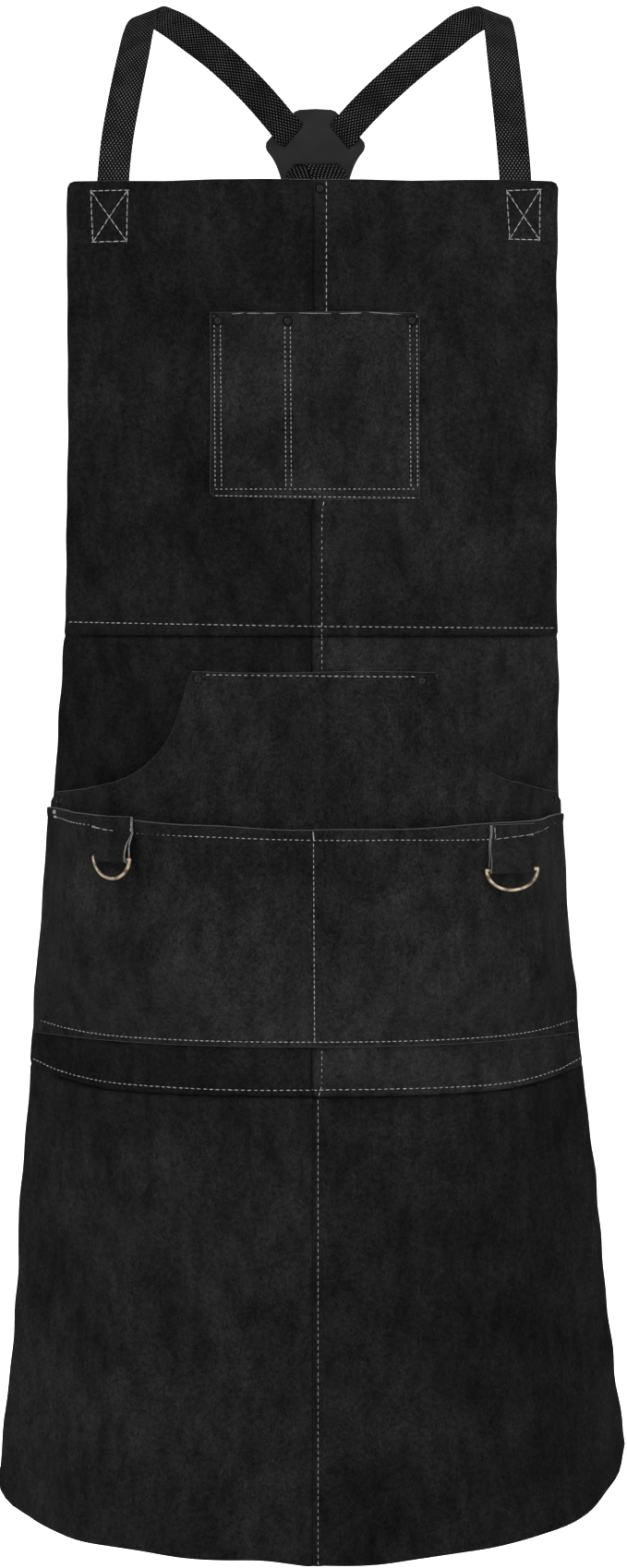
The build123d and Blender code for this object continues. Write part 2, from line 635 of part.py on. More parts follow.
def make_plug():
    """Male half: two spring prongs, a guide tongue, and a ladder of bars that grips the strap."""
    base = Pos(PLUG_BASE + PLUG_BLOCK / 2, 0, 0)
    plug = base * rounded_box(PLUG_BLOCK, BUCKLE_WIDTH, BUCKLE_HEIGHT - PRONG_FIT)
    depth = BUCKLE_HEIGHT - 2 * BUCKLE_WALL - PRONG_FIT
    for side in (-1, 1):
        prong = Pos(PLUG_BASE + BUCKLE_WALL / 2 - PRONG_REACH / 2, side * PRONG_OUT, 0)
        catch = Pos(PLUG_BASE - PRONG_REACH + BUCKLE_WALL / 2 + CATCH_LENGTH / 2, side * (PRONG_OUT + 1), 0)
        plug += prong * Box(PRONG_REACH, PRONG_WIDTH, depth)
        plug += catch * Box(CATCH_LENGTH, CATCH_WIDTH, depth)
    tongue = Pos(PLUG_BASE + BUCKLE_WALL / 2 - TONGUE_LENGTH / 2, 0, 0)
    plug += tongue * Box(TONGUE_LENGTH, TONGUE_WIDTH, depth - 2 * PRONG_FIT)
    for rail in side_rails(PLUG_BASE + PLUG_BLOCK - BUCKLE_WALL, PLUG_END, PLUG_RAIL_HEIGHT):
        plug += rail
    return plug + bar(GRIP_BAR) + bar(END_BAR)


def turn_round_bar(frame, across, along, direction):
    """Stations of webbing going half round a bar, from its outer to its inner side."""
    steps = 7
    stations = []
    for step in range(steps + 1):
        angle = math.pi * step / steps
        ahead = along + direction * BAR_TURN * math.sin(angle)
        point = frame.origin + frame.x_dir * ahead + frame.z_dir * (BAR_TURN * math.cos(angle))
        stations.append((tuple(point), across))
    return stations


def make_tab(word):
    """Webbing sewn inside the edge of the leather, going back round the bar of the socket."""
    frame = buckle_frame(word)
    side = -1 if word == "left" else 1
    across = tuple(frame.y_dir)
    inner = -LEATHER - TAB_AIR - WEBBING / 2
    stations = []
    for share, drop in TAB_SEWN:
        height = TAB_EDGE[word][2] - drop
        normal = wrap_normal(height, side * share)
        towards_edge = Vector(-normal.Y * side, normal.X * side, 0)
        line = normal.cross(towards_edge + Vector(0, 0, TAB_RISE))
        stations.append((tuple(wrap_point(height, side * share, inner)), tuple(line)))
    free = frame.origin + frame.x_dir * TAB_FREE + frame.z_dir * BAR_TURN
    stations.append((tuple(free), across))
    stations += turn_round_bar(frame, across, SOCKET_START, 1)
    end = frame.origin + frame.x_dir * TAB_RETURN + frame.z_dir * -BAR_TURN
    stations.append((tuple(end), across))
    return loft(cross_sections(stations), ruled=True)


def strap_route(word):
    """All stations of one strap, from the bib over one shoulder to the buckle at the other side."""
    shoulder = LEFT_SHOULDER if word == "left" else RIGHT_SHOULDER
    waist = "right" if word == "left" else "left"
    side = 1 if waist == "right" else -1
    frame = buckle_frame(waist)
    shift = TAB_EDGE[waist][0] - side * TAB_EDGE["right"][0]
    lower = []
    for i, (point, line) in enumerate(LOWER_RUN):
        share = (i + 1) / len(LOWER_RUN)
        behind = CROSSING_STEP * (1 - share) if side < 0 else 0
        place = (side * point[0] + shift * share, point[1] + behind, point[2])
        lower.append((place, (line[0], side * line[1], side * line[2])))
    across = tuple(frame.y_dir)
    buckle = []
    for along, out in ((STRAP_END + STRAP_LEAD, BAR_TURN + 1), (STRAP_END, BAR_TURN), (END_BAR, BAR_TURN)):
        point = frame.origin + frame.x_dir * along + frame.z_dir * out
        buckle.append((tuple(point), across))
    buckle += turn_round_bar(frame, across, GRIP_BAR, -1)
    for beyond, rise in TAIL:
        point = frame.origin + frame.x_dir * (END_BAR + beyond) - frame.z_dir * (BAR_TURN + rise)
        buckle.append((tuple(point), across))
    sections = cross_sections(shoulder + lower + buckle)
    above = len(shoulder)
    below = len(shoulder) + len(lower) + 2
    return sections[:above], sections[above - 1:below], sections[below - 1:]


def main():
    os.makedirs("parts", exist_ok=True)
    holes = rivet_holes()
    for name, shape in make_panels(holes).items():
        save(shape, name)
    chest = make_chest_pocket()
    hand = make_hand_pocket()
    for hole, (height, _, layers, _) in zip(holes, RIVETS):
        if layers > 1 and height > WAIST_SEAM:
            chest -= hole
        elif layers > 1:
            hand -= hole
    tool = make_tool_pocket()
    save(chest, "chest_pocket")
    save(hand, "hand_pocket")
    save(tool, "tool_pocket")
    save(Compound([rivet_cap(*row) for row in RIVETS]), "rivet_caps")
    save(Compound([rivet_post(*row) for row in RIVETS]), "rivet_posts")
    save(make_yoke(), "back_yoke")
    for word in ("left", "right"):
        other = "right" if word == "left" else "left"
        shoulder, lower, tail = strap_route(word)
        save(loft(shoulder, ruled=True), f"{word}_shoulder_strap")
        save(loft(lower, ruled=True), f"{other}_waist_strap")
        save(loft(tail, ruled=True), f"{other}_strap_tail")
        frame = buckle_frame(word)
        save(make_loop(word), f"{word}_tool_loop")
        save(make_loop_anchor(word, tool), f"{word}_loop_anchor")
        save(make_ring(word), f"{word}_d_ring")
        save(make_tab(word) - holes[-2] - holes[-1], f"{word}_waist_tab")
        save(frame * make_socket(), f"{word}_buckle_socket")
        save(frame * make_plug(), f"{word}_buckle_plug")


main()
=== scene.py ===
import math

import bpy
import numpy as np
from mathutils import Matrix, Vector
from mathutils.geometry import delaunay_2d_cdt


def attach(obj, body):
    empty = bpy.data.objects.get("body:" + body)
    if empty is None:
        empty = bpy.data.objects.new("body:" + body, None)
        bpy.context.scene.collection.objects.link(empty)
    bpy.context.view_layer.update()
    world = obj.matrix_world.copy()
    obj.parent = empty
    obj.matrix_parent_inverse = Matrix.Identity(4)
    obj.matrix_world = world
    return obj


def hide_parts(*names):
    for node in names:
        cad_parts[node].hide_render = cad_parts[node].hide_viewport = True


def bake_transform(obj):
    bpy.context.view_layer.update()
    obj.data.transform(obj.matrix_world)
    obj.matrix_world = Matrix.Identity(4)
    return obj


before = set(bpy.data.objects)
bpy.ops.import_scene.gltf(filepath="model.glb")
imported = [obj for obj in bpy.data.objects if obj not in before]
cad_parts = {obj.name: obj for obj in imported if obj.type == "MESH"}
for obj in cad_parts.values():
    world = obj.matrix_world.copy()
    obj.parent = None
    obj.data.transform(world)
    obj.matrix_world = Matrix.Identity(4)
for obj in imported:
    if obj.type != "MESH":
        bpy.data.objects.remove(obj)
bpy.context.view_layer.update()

# ---- the camera ----
CAMERA_PLACE = (0.0, -3.52, -0.4525)
CAMERA_LENS = 101.5
CAMERA_SHIFT = -0.1292      # the apron hangs lower than the level line of sight

camera = bpy.data.objects.new("camera", bpy.data.cameras.new("camera"))
camera.data.lens = CAMERA_LENS
camera.location = CAMERA_PLACE
camera.data.shift_y = CAMERA_SHIFT
camera.rotation_euler = (math.radians(90), 0, 0)
bpy.context.scene.collection.objects.link(camera)
bpy.context.scene.camera = camera

# ---- driving sizes of the apron, as in the solids ----
FRONT_Y = -0.120
WRAP_POWER = 2.6
LEATHER = 0.0016
LAYER_GAP = 0.00012
BIB_TOP = -0.1435
WAIST_SEAM = -0.495
SKIRT_SEAM = -0.8495
HEM = -1.210
# rows of: height, half width on the left, half width on the right, depth of the wrap at the sides
BODY_SHAPE = np.array([
    (-0.1435, 0.190, 0.188, 0.016),
    (-0.330, 0.190, 0.188, 0.020),
    (-0.420, 0.191, 0.189, 0.034),
    (-0.495, 0.193, 0.190, 0.060),
    (-0.560, 0.200, 0.192, 0.086),
    (-0.630, 0.207, 0.1935, 0.105),
    (-0.700, 0.213, 0.1985, 0.112),
    (-0.8495, 0.225, 0.214, 0.122),
    (-1.030, 0.239, 0.235, 0.133),
    (-1.210, 0.253, 0.254, 0.142),
])
CHEST_LEFT, CHEST_RIGHT = -0.0792, 0.0814
CHEST_TOP, CHEST_BOTTOM = -0.2459, -0.3893
CHEST_COLUMNS = (-0.0763, -0.0715, -0.0220, -0.0178, 0.0739, 0.0792)    # upright rows of stitches
HAND_TOP, HAND_TOP_HALF = -0.5225, 0.095
HAND_CORNER, HAND_BOTTOM = -0.623, -0.807
HAND_GAP = 0.0092
TOOL_TOP_CENTRE, TOOL_TOP_RIGHT = -0.6435, -0.637
TOOL_BOTTOM = -0.810
TOOL_GAP = 0.0098
RIVETS = [(-0.1501, 0.005), (-0.252, -0.0736), (-0.2523, -0.020), (-0.2516, 0.0759),
          (-0.5276, -0.0895), (-0.529, 0.084), (-0.6258, -0.199), (-0.6258, 0.188)]
LOOP_WIDTH, LOOP_STRIP, LOOP_TOP = 0.036, 0.0015, 0.0094
RING_WIRE, RING_PLAY = 0.0015, 0.0002
# side: distance out from the centre, height of the seam, turn about Z, stand-off, free length
LOOPS = {
    "left": (-0.1499, -0.6435, math.radians(-48), 0.0042, 0.0226),
    "right": (0.150, -0.650, math.radians(22), 0.005, 0.0252),
}
# side: centre of the strip's sewn end on the plain wrapped shape, and how much of its width shows there
LOOP_SEWN = {"left": (-0.1415, 0.79), "right": (0.1388, 0.86)}
WEBBING_WIDTH, WEBBING = 0.0254, 0.0016
GRID = 0.0045
EDGE_CLEARANCE = 0.0004
EDGE_BULGE = 0.22           # share of the thickness by which a cut edge stands out in its middle


# ---- the wrapped leather: every sheet is a height field over this shape ----
def smooth(value):
    """0 below 0, 1 above 1, and an even ramp between."""
    value = np.clip(value, 0.0, 1.0)
    return value * value * (3 - 2 * value)


def body_values(z):
    """Half widths and wrap depth at heights z, averaged over a short stretch so that no row shows."""
    rows = BODY_SHAPE[::-1]
    found = []
    for column in (1, 2, 3):
        places = [z + shift for shift in np.linspace(-0.03, 0.03, 7)]
        near_by = [np.interp(place, rows[:, 0], rows[:, column]) for place in places]
        found.append(sum(near_by) / len(near_by))
    return found


def across(x, z):
    """-1 at the left edge of the leather, 0 in the middle, 1 at its right edge."""
    left, right, _ = body_values(z)
    return x / np.where(x < 0, left, right)


def wrap_normal(x, z):
    left, right, depth = body_values(z)
    half = np.where(x < 0, left, right)
    slope = np.sign(x) * depth * WRAP_POWER * np.abs(x / half) ** (WRAP_POWER - 1) / half
    length = np.hypot(slope, 1.0)
    return np.stack([slope / length, -1.0 / length, np.zeros_like(length)], axis=-1)


def wrap_point(x, z, offset):
    """Points at offsets outwards from the outer face of the body leather."""
    depth = body_values(z)[2]
    base = np.stack([x, FRONT_Y + depth * np.abs(across(x, z)) ** WRAP_POWER, z + 0 * x], axis=-1)
    return base + wrap_normal(x, z) * np.asarray(offset)[..., None]


def base_x(x, z, face):
    """The place on the plain wrapped shape whose point on a raised face stands at x."""
    place = np.array(x, float)
    for _ in range(30):
        place = place + 0.7 * (x - wrap_point(place, z, face(place, z))[..., 0])
    return float(place)


def swell(x, z, size, seed):
    """Uneven soft waves between about -1 and 1, of one typical size."""
    draw = np.random.default_rng(seed)
    total = 0.0
    for _ in range(9):
        angle = draw.uniform(0, math.pi)
        length = size * draw.uniform(0.6, 1.7)
        phase = draw.uniform(0, 2 * math.pi)
        total = total + np.sin((x * math.cos(angle) + z * math.sin(angle)) * 2 * math.pi / length + phase)
    return total / 3.0


def near(distance, width):
    """1 on a line, falling off to both sides."""
    return np.exp(-((distance / width) ** 2))


def pinned(x, z, reach):
    """0 at each rivet, 1 away from them."""
    free = 1.0
    for height, place in RIVETS:
        free = free * (1 - np.exp(-((x - place) ** 2 + (z - height) ** 2) / reach**2))
    return free


# where the middle seam steps sideways: at the skirt seam and behind the chest pocket
SEAM_HEIGHTS = [-1.21, -0.85, -0.84, -0.40, -0.38, -0.14]


def centre_valley(z):
    """Distance out of the valley of the middle seam: it wanders a little on its way down."""
    return np.interp(z, SEAM_HEIGHTS, [0.0, 0.0, -0.0007, -0.0007, 0.0007, 0.0007])


def centre_stitch(z):
    return np.interp(z, SEAM_HEIGHTS, [0.0035, 0.0035, 0.0064, 0.0064, 0.0099, 0.0099])


def waist_stitch(x):
    return np.interp(x, [-0.2, 0.0, 0.2], [-0.484, -0.487, -0.489])


EDGE_CLIMB = 0.013


def edge_climb(x):
    """How far the skirt seam climbs towards the edges of the leather."""
    return EDGE_CLIMB * np.clip((np.abs(across(x, SKIRT_SEAM)) - 0.6) / 0.4, 0, 1) ** 2.6


def skirt_stitch(x):
    return -0.8437 + 0.0004 * np.sin(x * 31) + edge_climb(x)


def pocket_row(x):
    """Height of the stitching along the bottom of the tool pocket."""
    return -0.8065 + 0.7 * edge_climb(x)


def seam_relief(distance, stitch, along, depth):
    """Cross-section of a seam at a distance from its valley: a raised band up to its top stitching."""
    band = smooth(distance / 0.002) * smooth((stitch + 0.0035 - distance) / 0.003)
    gathers = np.sin(along * 2 * math.pi / 0.0135 + 2.2 * np.sin(along * 47))
    pucker = gathers * near(distance - stitch, 0.006)
    groove = near(distance - stitch, 0.0009)
    valley = np.exp(-np.abs(distance) / 0.0009)
    return depth * (0.0012 * band - 0.0036 * valley) - 0.0005 * groove + 0.00022 * pucker


def lie(x, z):
    """How far the outer face of the body leather stands out from the plain wrapped shape."""
    broad = 0.0013 * swell(x, z, 0.19, 5) + 0.0005 * swell(x, z, 0.05, 8)
    edge = 0.0003 * np.sin(z * 95 + np.sign(x)) * smooth((np.abs(across(x, z)) - 0.9) / 0.1)
    drop = np.clip((SKIRT_SEAM - 0.03 - z) / 0.33, 0, 1) ** 1.4
    folds = 0.0042 * drop * (np.sin(x * 37 + 0.8) + 0.6 * np.sin(x * 61 - z * 9 + 2.0))
    middle = seam_relief(x - centre_valley(z), centre_stitch(z) - centre_valley(z), z, 1.0)
    middle = middle * np.where(z < SKIRT_SEAM, 0.75, 1.0)
    waist = seam_relief(z - WAIST_SEAM, waist_stitch(x) - WAIST_SEAM, x, 1.1)
    valley = SKIRT_SEAM + edge_climb(x)
    skirt = seam_relief(z - valley, skirt_stitch(x) - valley, x + 0.3, 1.0)
    inner = smooth((0.97 - np.abs(across(x, z))) / 0.07)
    seams = middle + (waist + skirt) * (0.25 + 0.75 * inner)
    return pinned(x, z, 0.03) * (broad + edge + folds) + pinned(x, z, 0.007) * seams


def groove(distance):
    return -0.0004 * near(distance, 0.0009)


def chest_face(x, z):
    """Offset of the outer face of the chest pocket."""
    pencil = smooth(np.minimum(x + 0.0715, -0.0220 - x) / 0.022) * 0.0022
    main = smooth(np.minimum(x + 0.0178, 0.0739 - x) / 0.034) * 0.0036
    rise = smooth((z + 0.381) / 0.05) * (0.8 + 0.2 * smooth((z + 0.30) / 0.05))
    lines = sum(groove(x - place) for place in CHEST_COLUMNS)
    bottom = groove(z - chest_row(x, 0)) + groove(z - chest_row(x, 1))
    body = 0.6 * pinned(x, z, 0.03) * 0.0013 * swell(x, z, 0.19, 5)
    own = 0.0004 * swell(x, z, 0.04, 21) * pinned(x, z, 0.012)
    bulge = (pencil + main) * rise * pinned(x, z, 0.010)
    seam = 0.0008 * near(x - 0.004, 0.006) * smooth((z + 0.38) / 0.01)
    return LEATHER + LAYER_GAP + 0.0002 + body + own + bulge + seam + (lines + bottom) * pinned(x, z, 0.008)


def chest_row(x, row):
    """Height of one of the two stitch rows along the bottom of the chest pocket."""
    return -0.3815 - 0.0050 * row - 0.018 * (x - CHEST_LEFT) * row / 1.6


def hand_face(x, z):
    """Offset of the outer face of the hand pocket."""
    u = np.abs(across(x, z))
    open_top = smooth((HAND_TOP - 0.006 - z) / 0.062)
    share = smooth((1 - u) / 0.22) * open_top * smooth((z - HAND_BOTTOM) / 0.052)
    body = pinned(x, z, 0.03) * 0.0013 * swell(x, z, 0.19, 5) * (1 - 0.7 * share)
    own = pinned(x, z, 0.03) * 0.0005 * swell(x, z, 0.06, 33) * smooth((z - TOOL_TOP_CENTRE) / 0.03)
    top = groove(z - hand_stitch(x)) * smooth((0.090 - np.abs(x)) / 0.01)
    return LEATHER + LAYER_GAP + 0.0002 + body + own + HAND_GAP * share * pinned(x, z, 0.016) + top


def hand_stitch(x):
    return -0.5245 - 0.0015 * smooth((x + 0.1) / 0.2)


def tool_rim(x):
    """Height of the top edge of the tool pocket."""
    return np.interp(x, [-0.2029, -0.1569, -0.092, 0.0, 0.0912, 0.1909],
                     [-0.631, -0.6345, -0.6395, -0.6435, -0.6415, -0.637])


def tool_stitch(x):
    """Height of the stitching along the hem of the tool pocket."""
    return np.interp(x, [-0.2029, -0.1569, -0.1500, -0.1260, -0.0563, 0.0, 0.0556, 0.1216, 0.1549, 0.1909],
                     [-0.6385, -0.6420, -0.6442, -0.6468, -0.6488,
                      -0.6510, -0.6503, -0.6520, -0.6489, -0.6426])


def tool_face(x, z):
    """Offset of the outer face of the tool pocket."""
    u = np.abs(across(x, z))
    divided = smooth((np.abs(x) - 0.002) / 0.036)
    share = smooth((1 - u) / 0.20) * divided * smooth((z - pocket_row(x)) / 0.050)
    own = 0.0007 * swell(x, z, 0.08, 41) * share
    hem = 0.0006 * smooth((z - tool_stitch(x)) / 0.002)
    lines = groove(z - tool_stitch(x)) + groove(x) + groove(z - pocket_row(x))
    return hand_face(x, z) + LEATHER + LAYER_GAP + TOOL_GAP * share + own + hem + lines


def surface_of(face):
    """The places at a depth below a face that stands out from the wrapped shape."""
    return lambda x, z, depth: wrap_point(x, z, face(x, z) - depth)


def top_of(face, lift=0.00005):
    """The places just above such a face, where stitches lie."""
    return lambda x, z: wrap_point(x, z, face(x, z) + lift)


# ---- materials ----
class Look:
    """A procedural material over the object's own coordinates, in metres."""

    def __init__(self, name):
        self.material = bpy.data.materials.new(name)
        self.material.use_nodes = True
        self.tree = self.material.node_tree
        self.shader = self.tree.nodes["Principled BSDF"]
        self.place = self.coordinates("Object")

    def coordinates(self, output):
        return self.tree.nodes.new("ShaderNodeTexCoord").outputs[output]

    def axis(self, output, letter):
        """One axis of a set of coordinates."""
        split = self.tree.nodes.new("ShaderNodeSeparateXYZ")
        self.tree.links.new(self.coordinates(output), split.inputs["Vector"])
        return split.outputs[letter]

    def noise(self, scale, detail=2.0, stretch=(1, 1, 1)):
        """Noise of one scale, in features per metre, over a stretched copy of the coordinates."""
        mapping = self.tree.nodes.new("ShaderNodeMapping")
        mapping.inputs["Scale"].default_value = stretch
        texture = self.tree.nodes.new("ShaderNodeTexNoise")
        texture.inputs["Scale"].default_value = scale
        texture.inputs["Detail"].default_value = detail
        self.tree.links.new(self.place, mapping.inputs["Vector"])
        self.tree.links.new(mapping.outputs["Vector"], texture.inputs["Vector"])
        return texture.outputs["Fac"]

    def spread(self, value, low, high, into_low, into_high):
        """A value mapped from one range into another."""
        node = self.tree.nodes.new("ShaderNodeMapRange")
        sockets = ("From Min", "From Max", "To Min", "To Max")
        for socket, number in zip(sockets, (low, high, into_low, into_high)):
            node.inputs[socket].default_value = number
        self.tree.links.new(value, node.inputs["Value"])
        return node.outputs["Result"]

    def varied(self, scale, low, high, detail=2.0, stretch=(1, 1, 1)):
        """Noise that wanders from one value to another over the surface."""
        return self.spread(self.noise(scale, detail, stretch), 0.3, 0.7, low, high)

    def combine(self, operation, first, second=0):
        node = self.tree.nodes.new("ShaderNodeMath")
        node.operation = operation
        for socket, value in zip(node.inputs, (first, second)):
            if isinstance(value, (int, float)):
                socket.default_value = value
            else:
                self.tree.links.new(value, socket)
        return node.outputs["Value"]

    def times(self, first, *others):
        """The product of values and numbers."""
        for other in others:
            first = self.combine("MULTIPLY", first, other)
        return first

    def drive(self, socket, value):
        """Let a value that varies over the surface set one of the shader's sockets."""
        self.tree.links.new(value, self.shader.inputs[socket])

    def fix(self, numbers):
        """Set the sockets that are the same all over the surface."""
        for socket, number in numbers.items():
            self.shader.inputs[socket].default_value = number

    def tint(self, colour, factor):
        """A base colour made lighter and darker by a factor that varies over the surface."""
        node = self.tree.nodes.new("ShaderNodeVectorMath")
        node.operation = "SCALE"
        node.inputs[0].default_value = colour
        self.tree.links.new(factor, node.inputs["Scale"])
        self.drive("Base Color", node.outputs["Vector"])

    def between(self, share, first, second):
        """A base colour that goes from the first colour to the second."""
        mix = self.tree.nodes.new("ShaderNodeMix")
        mix.data_type = "RGBA"
        mix.inputs["A"].default_value = (*first, 1)
        mix.inputs["B"].default_value = (*second, 1)
        self.tree.links.new(share, mix.inputs["Factor"])
        self.drive("Base Color", mix.outputs["Result"])

    def bump(self, height, distance, strength=1.0):
        node = self.tree.nodes.new("ShaderNodeBump")
        node.inputs["Distance"].default_value = distance
        node.inputs["Strength"].default_value = strength
        self.tree.links.new(height, node.inputs["Height"])
        self.drive("Normal", node.outputs["Normal"])


def grey(tone):
    return (tone, tone, tone)


def suede(name, tone, nap=1.0):
    """Split leather: brushed nap with darker and lighter strokes, and short fibres that catch the light."""
    look = Look(name)
    cloud = look.spread(look.noise(11, 4), 0.32, 0.68, 0.72, 1.30)
    stroke = look.varied(75, 0.72, 1.34, 4, (1.0, 1.0, 0.45))
    mottle = look.varied(260, 0.76, 1.30, 3)
    fibre = look.varied(900, 1 - 0.46 * nap, 1 + 0.60 * nap, 3, (1.0, 1.0, 0.6))
    look.tint(grey(tone), look.times(cloud, stroke, look.times(mottle, fibre)))
    look.drive("Roughness", look.varied(130, 0.86, 0.98, 3))
    look.fix({"Specular IOR Level": 0.0, "Sheen Weight": 0.006, "Sheen Roughness": 0.55,
              "Sheen Tint": (0.75, 0.75, 0.75, 1)})
    coarse = look.noise(420, 4, (1.0, 1.0, 0.7))
    look.bump(look.combine("ADD", coarse, look.times(look.noise(1500), 0.5)), 0.0006, 0.8)
    return look.material


def cut_edge(name, colour):
    """The raw cut edge of the leather, where its paler fibres show."""
    look = Look(name)
    look.tint(colour, look.varied(700, 0.55, 1.5, 4))
    look.drive("Roughness", look.varied(300, 0.85, 1.0))
    look.bump(look.noise(1300, 3), 0.0005)
    return look.material


def smooth_leather(name, colour):
    """Oiled grain leather of the yoke: fine pores, soft creases with painted shade in their hollows, and a
    dull shine.
    """
    look = Look(name)
    cells = look.tree.nodes.new("ShaderNodeTexVoronoi")
    cells.feature = "DISTANCE_TO_EDGE"
    cells.inputs["Scale"].default_value = 900
    look.tree.links.new(look.place, cells.inputs["Vector"])
    creases = look.noise(60, 5, (1.0, 1.0, 2.2))
    pores = look.spread(cells.outputs["Distance"], 0.0, 0.12, 0.0, 1.0)
    # painted shade: the colour is darker in the hollows of the creases and lighter on their ridges,
    # following the same noise as their bump
    painted_crease_shade = look.spread(creases, 0.3, 0.7, 0.82, 1.2)
    look.tint(colour, look.times(painted_crease_shade, look.spread(pores, 0, 1, 0.85, 1.0)))
    look.drive("Roughness", look.varied(90, 0.40, 0.58, 4))
    look.fix({"Specular IOR Level": 0.13})
    look.bump(look.combine("ADD", look.times(pores, 0.35), creases), 0.0004)
    return look.material


YARN_ALONG, YARN_ACROSS = 0.0040, 0.0028


def woven(name, colour, light):
    """Webbing: floats of yarn in slanted rows, painted lighter as a highlight and darker between; the UV map
    is in metres along and across the band.
    """
    look = Look(name)
    along = look.times(look.axis("UV", "X"), 2 * math.pi / YARN_ALONG)
    over = look.times(look.axis("UV", "Y"), 2 * math.pi / YARN_ACROSS)
    weave = look.times(look.combine("SINE", along), look.combine("SINE", over))
    ribs = look.combine("SINE", look.times(along, 2.0))
    patchy_highlight = look.spread(look.noise(60, 3), 0.35, 0.65, 0.55, 1.25)
    fuzz = look.varied(1400, 0.7, 1.3)
    # painted highlight: the raised floats of yarn get the lighter colour and the hollows between them the
    # dark one, stronger in some patches and with fine fuzz
    look.between(look.times(look.spread(weave, 0.3, 0.95, 0.0, 1.0), patchy_highlight, fuzz), colour, light)
    look.drive("Roughness", look.spread(weave, -1, 1, 0.9, 0.7))
    look.fix({"Specular IOR Level": 0.0, "Sheen Weight": 0.003, "Sheen Roughness": 0.5})
    look.bump(look.combine("ADD", weave, look.times(ribs, 0.3)), 0.00035)
    return look.material


def thread(name, colour):
    """Twisted polyester sewing thread."""
    look = Look(name)
    twist = look.noise(2600)
    look.tint(colour, look.varied(200, 0.55, 1.35, 3))
    look.drive("Roughness", look.spread(twist, 0.3, 0.7, 0.5, 0.75))
    look.fix({"Sheen Weight": 0.2})
    look.bump(twist, 0.0002)
    return look.material


def old_brass(name, bright, dark):
    """Antique plated brass: brown in the hollows, brighter where it rubs."""
    look = Look(name)
    patina = look.spread(look.noise(170, 5), 0.40, 0.62, 0.0, 1.0)
    look.between(patina, bright, dark)
    look.fix({"Metallic": 1.0})
    look.drive("Roughness", look.spread(patina, 0, 1, 0.30, 0.52))
    look.bump(look.noise(900, 3), 0.0002, 0.5)
    return look.material


def glossy_black(name, rough_low, rough_high, tone, gloss, painted_highlight=1.0):
    """Smooth black coating or moulded plastic with fine marks, and a painted highlight: lighter on the
    front-facing slope of a dome.
    """
    look = Look(name)
    grain = look.varied(350, 0.75, 1.3, 4)
    frontal = look.combine("ABSOLUTE", look.axis("Normal", "Y"))
    # painted highlight: a lighter band where the dome's slope faces the front (-Y), weaker at its very
    # middle and none at the rim; the last argument sets how much lighter
    slope = look.times(look.spread(frontal, 0.78, 0.90, 0, 1), look.spread(frontal, 0.985, 0.998, 1, 0.1))
    look.tint(grey(tone), look.times(grain, look.spread(slope, 0, 1, 1.0, painted_highlight)))
    look.fix({"Specular IOR Level": gloss})
    look.drive("Roughness", look.varied(500, rough_low, rough_high, 4, (1.0, 2.5, 1.0)))
    look.bump(look.noise(1800), 0.0001, 0.4)
    return look.material


# how light each panel's hide is
PANEL_TONE = {
    "left_bib": 0.0038, "right_bib": 0.0048, "left_waist": 0.0036,
    "right_waist": 0.0068, "left_skirt": 0.0048, "right_skirt": 0.0040,
}
POCKET_SUEDE = suede("pocket_suede", 0.0058, nap=1.1)
LOOP_SUEDE = suede("loop_suede", 0.0054)
EDGE = cut_edge("leather_cut_edge", (0.016, 0.016, 0.0155))
PALE_EDGE = cut_edge("loop_cut_edge", (0.085, 0.08, 0.076))
YOKE_GRAIN = smooth_leather("yoke_grain_leather", (0.0066, 0.0066, 0.0070))
# the lighter grey is the painted highlight on the floats of yarn
WEBBING_WEAVE = woven("webbing_weave", grey(0.0022), grey(0.08))
THREAD = thread("sewing_thread", (0.15, 0.15, 0.146))
BRASS = old_brass("antique_brass", (0.25, 0.20, 0.14), (0.055, 0.042, 0.028))
# rivets: near black, with a painted highlight 22 times the base tone on the front-facing slope of each dome
RIVET_BLACK = glossy_black("rivet_gloss_black", 0.18, 0.32, 0.0004, 0.02, painted_highlight=22.0)
BUCKLE_BLACK = glossy_black("buckle_moulded_black", 0.38, 0.55, 0.010, 0.2)


# ---- mesh helpers ----
def make_object(name, points, faces, materials, material_of=None, sharp=50.0):
    mesh = bpy.data.meshes.new(name)
    mesh.from_pydata([tuple(p) for p in points], [], faces)
    for material in materials:
        mesh.materials.append(material)
    if material_of is not None:
        mesh.polygons.foreach_set("material_index", material_of)
    mesh.polygons.foreach_set("use_smooth", [True] * len(mesh.polygons))
    mesh.set_sharp_from_angle(angle=math.radians(sharp))
    mesh.update()
    piece = bpy.data.objects.new(name, mesh)
    bpy.context.scene.collection.objects.link(piece)
    return piece


def walk(points, step):
    """Points evenly spaced along a closed outline, keeping its corners."""
    result = []
    for start, end in zip(points, points[1:] + points[:1]):
        length = math.hypot(end[0] - start[0], end[1] - start[1])
        count = max(1, round(length / step))
        for i in range(count):
            share = i / count
            result.append((start[0] + (end[0] - start[0]) * share, start[1] + (end[1] - start[1]) * share))
    return result


def signed_area(outline):
    """Area of a closed outline, above 0 where it runs anticlockwise."""
    points = np.array(outline)
    ahead = np.roll(points, -1, axis=0)
    return float(np.sum(points[:, 0] * ahead[:, 1] - ahead[:, 0] * points[:, 1]) / 2)


def inside(outline, points):
    """Which points lie inside a closed outline."""
    x, y = points[:, 0], points[:, 1]
    found = np.zeros(len(points), bool)
    for (x1, y1), (x2, y2) in zip(outline, outline[1:] + outline[:1]):
        if y1 != y2:
            crossing = (y > min(y1, y2)) & (y <= max(y1, y2))
            found ^= crossing & (x < x1 + (y - y1) * (x2 - x1) / (y2 - y1))
    return found


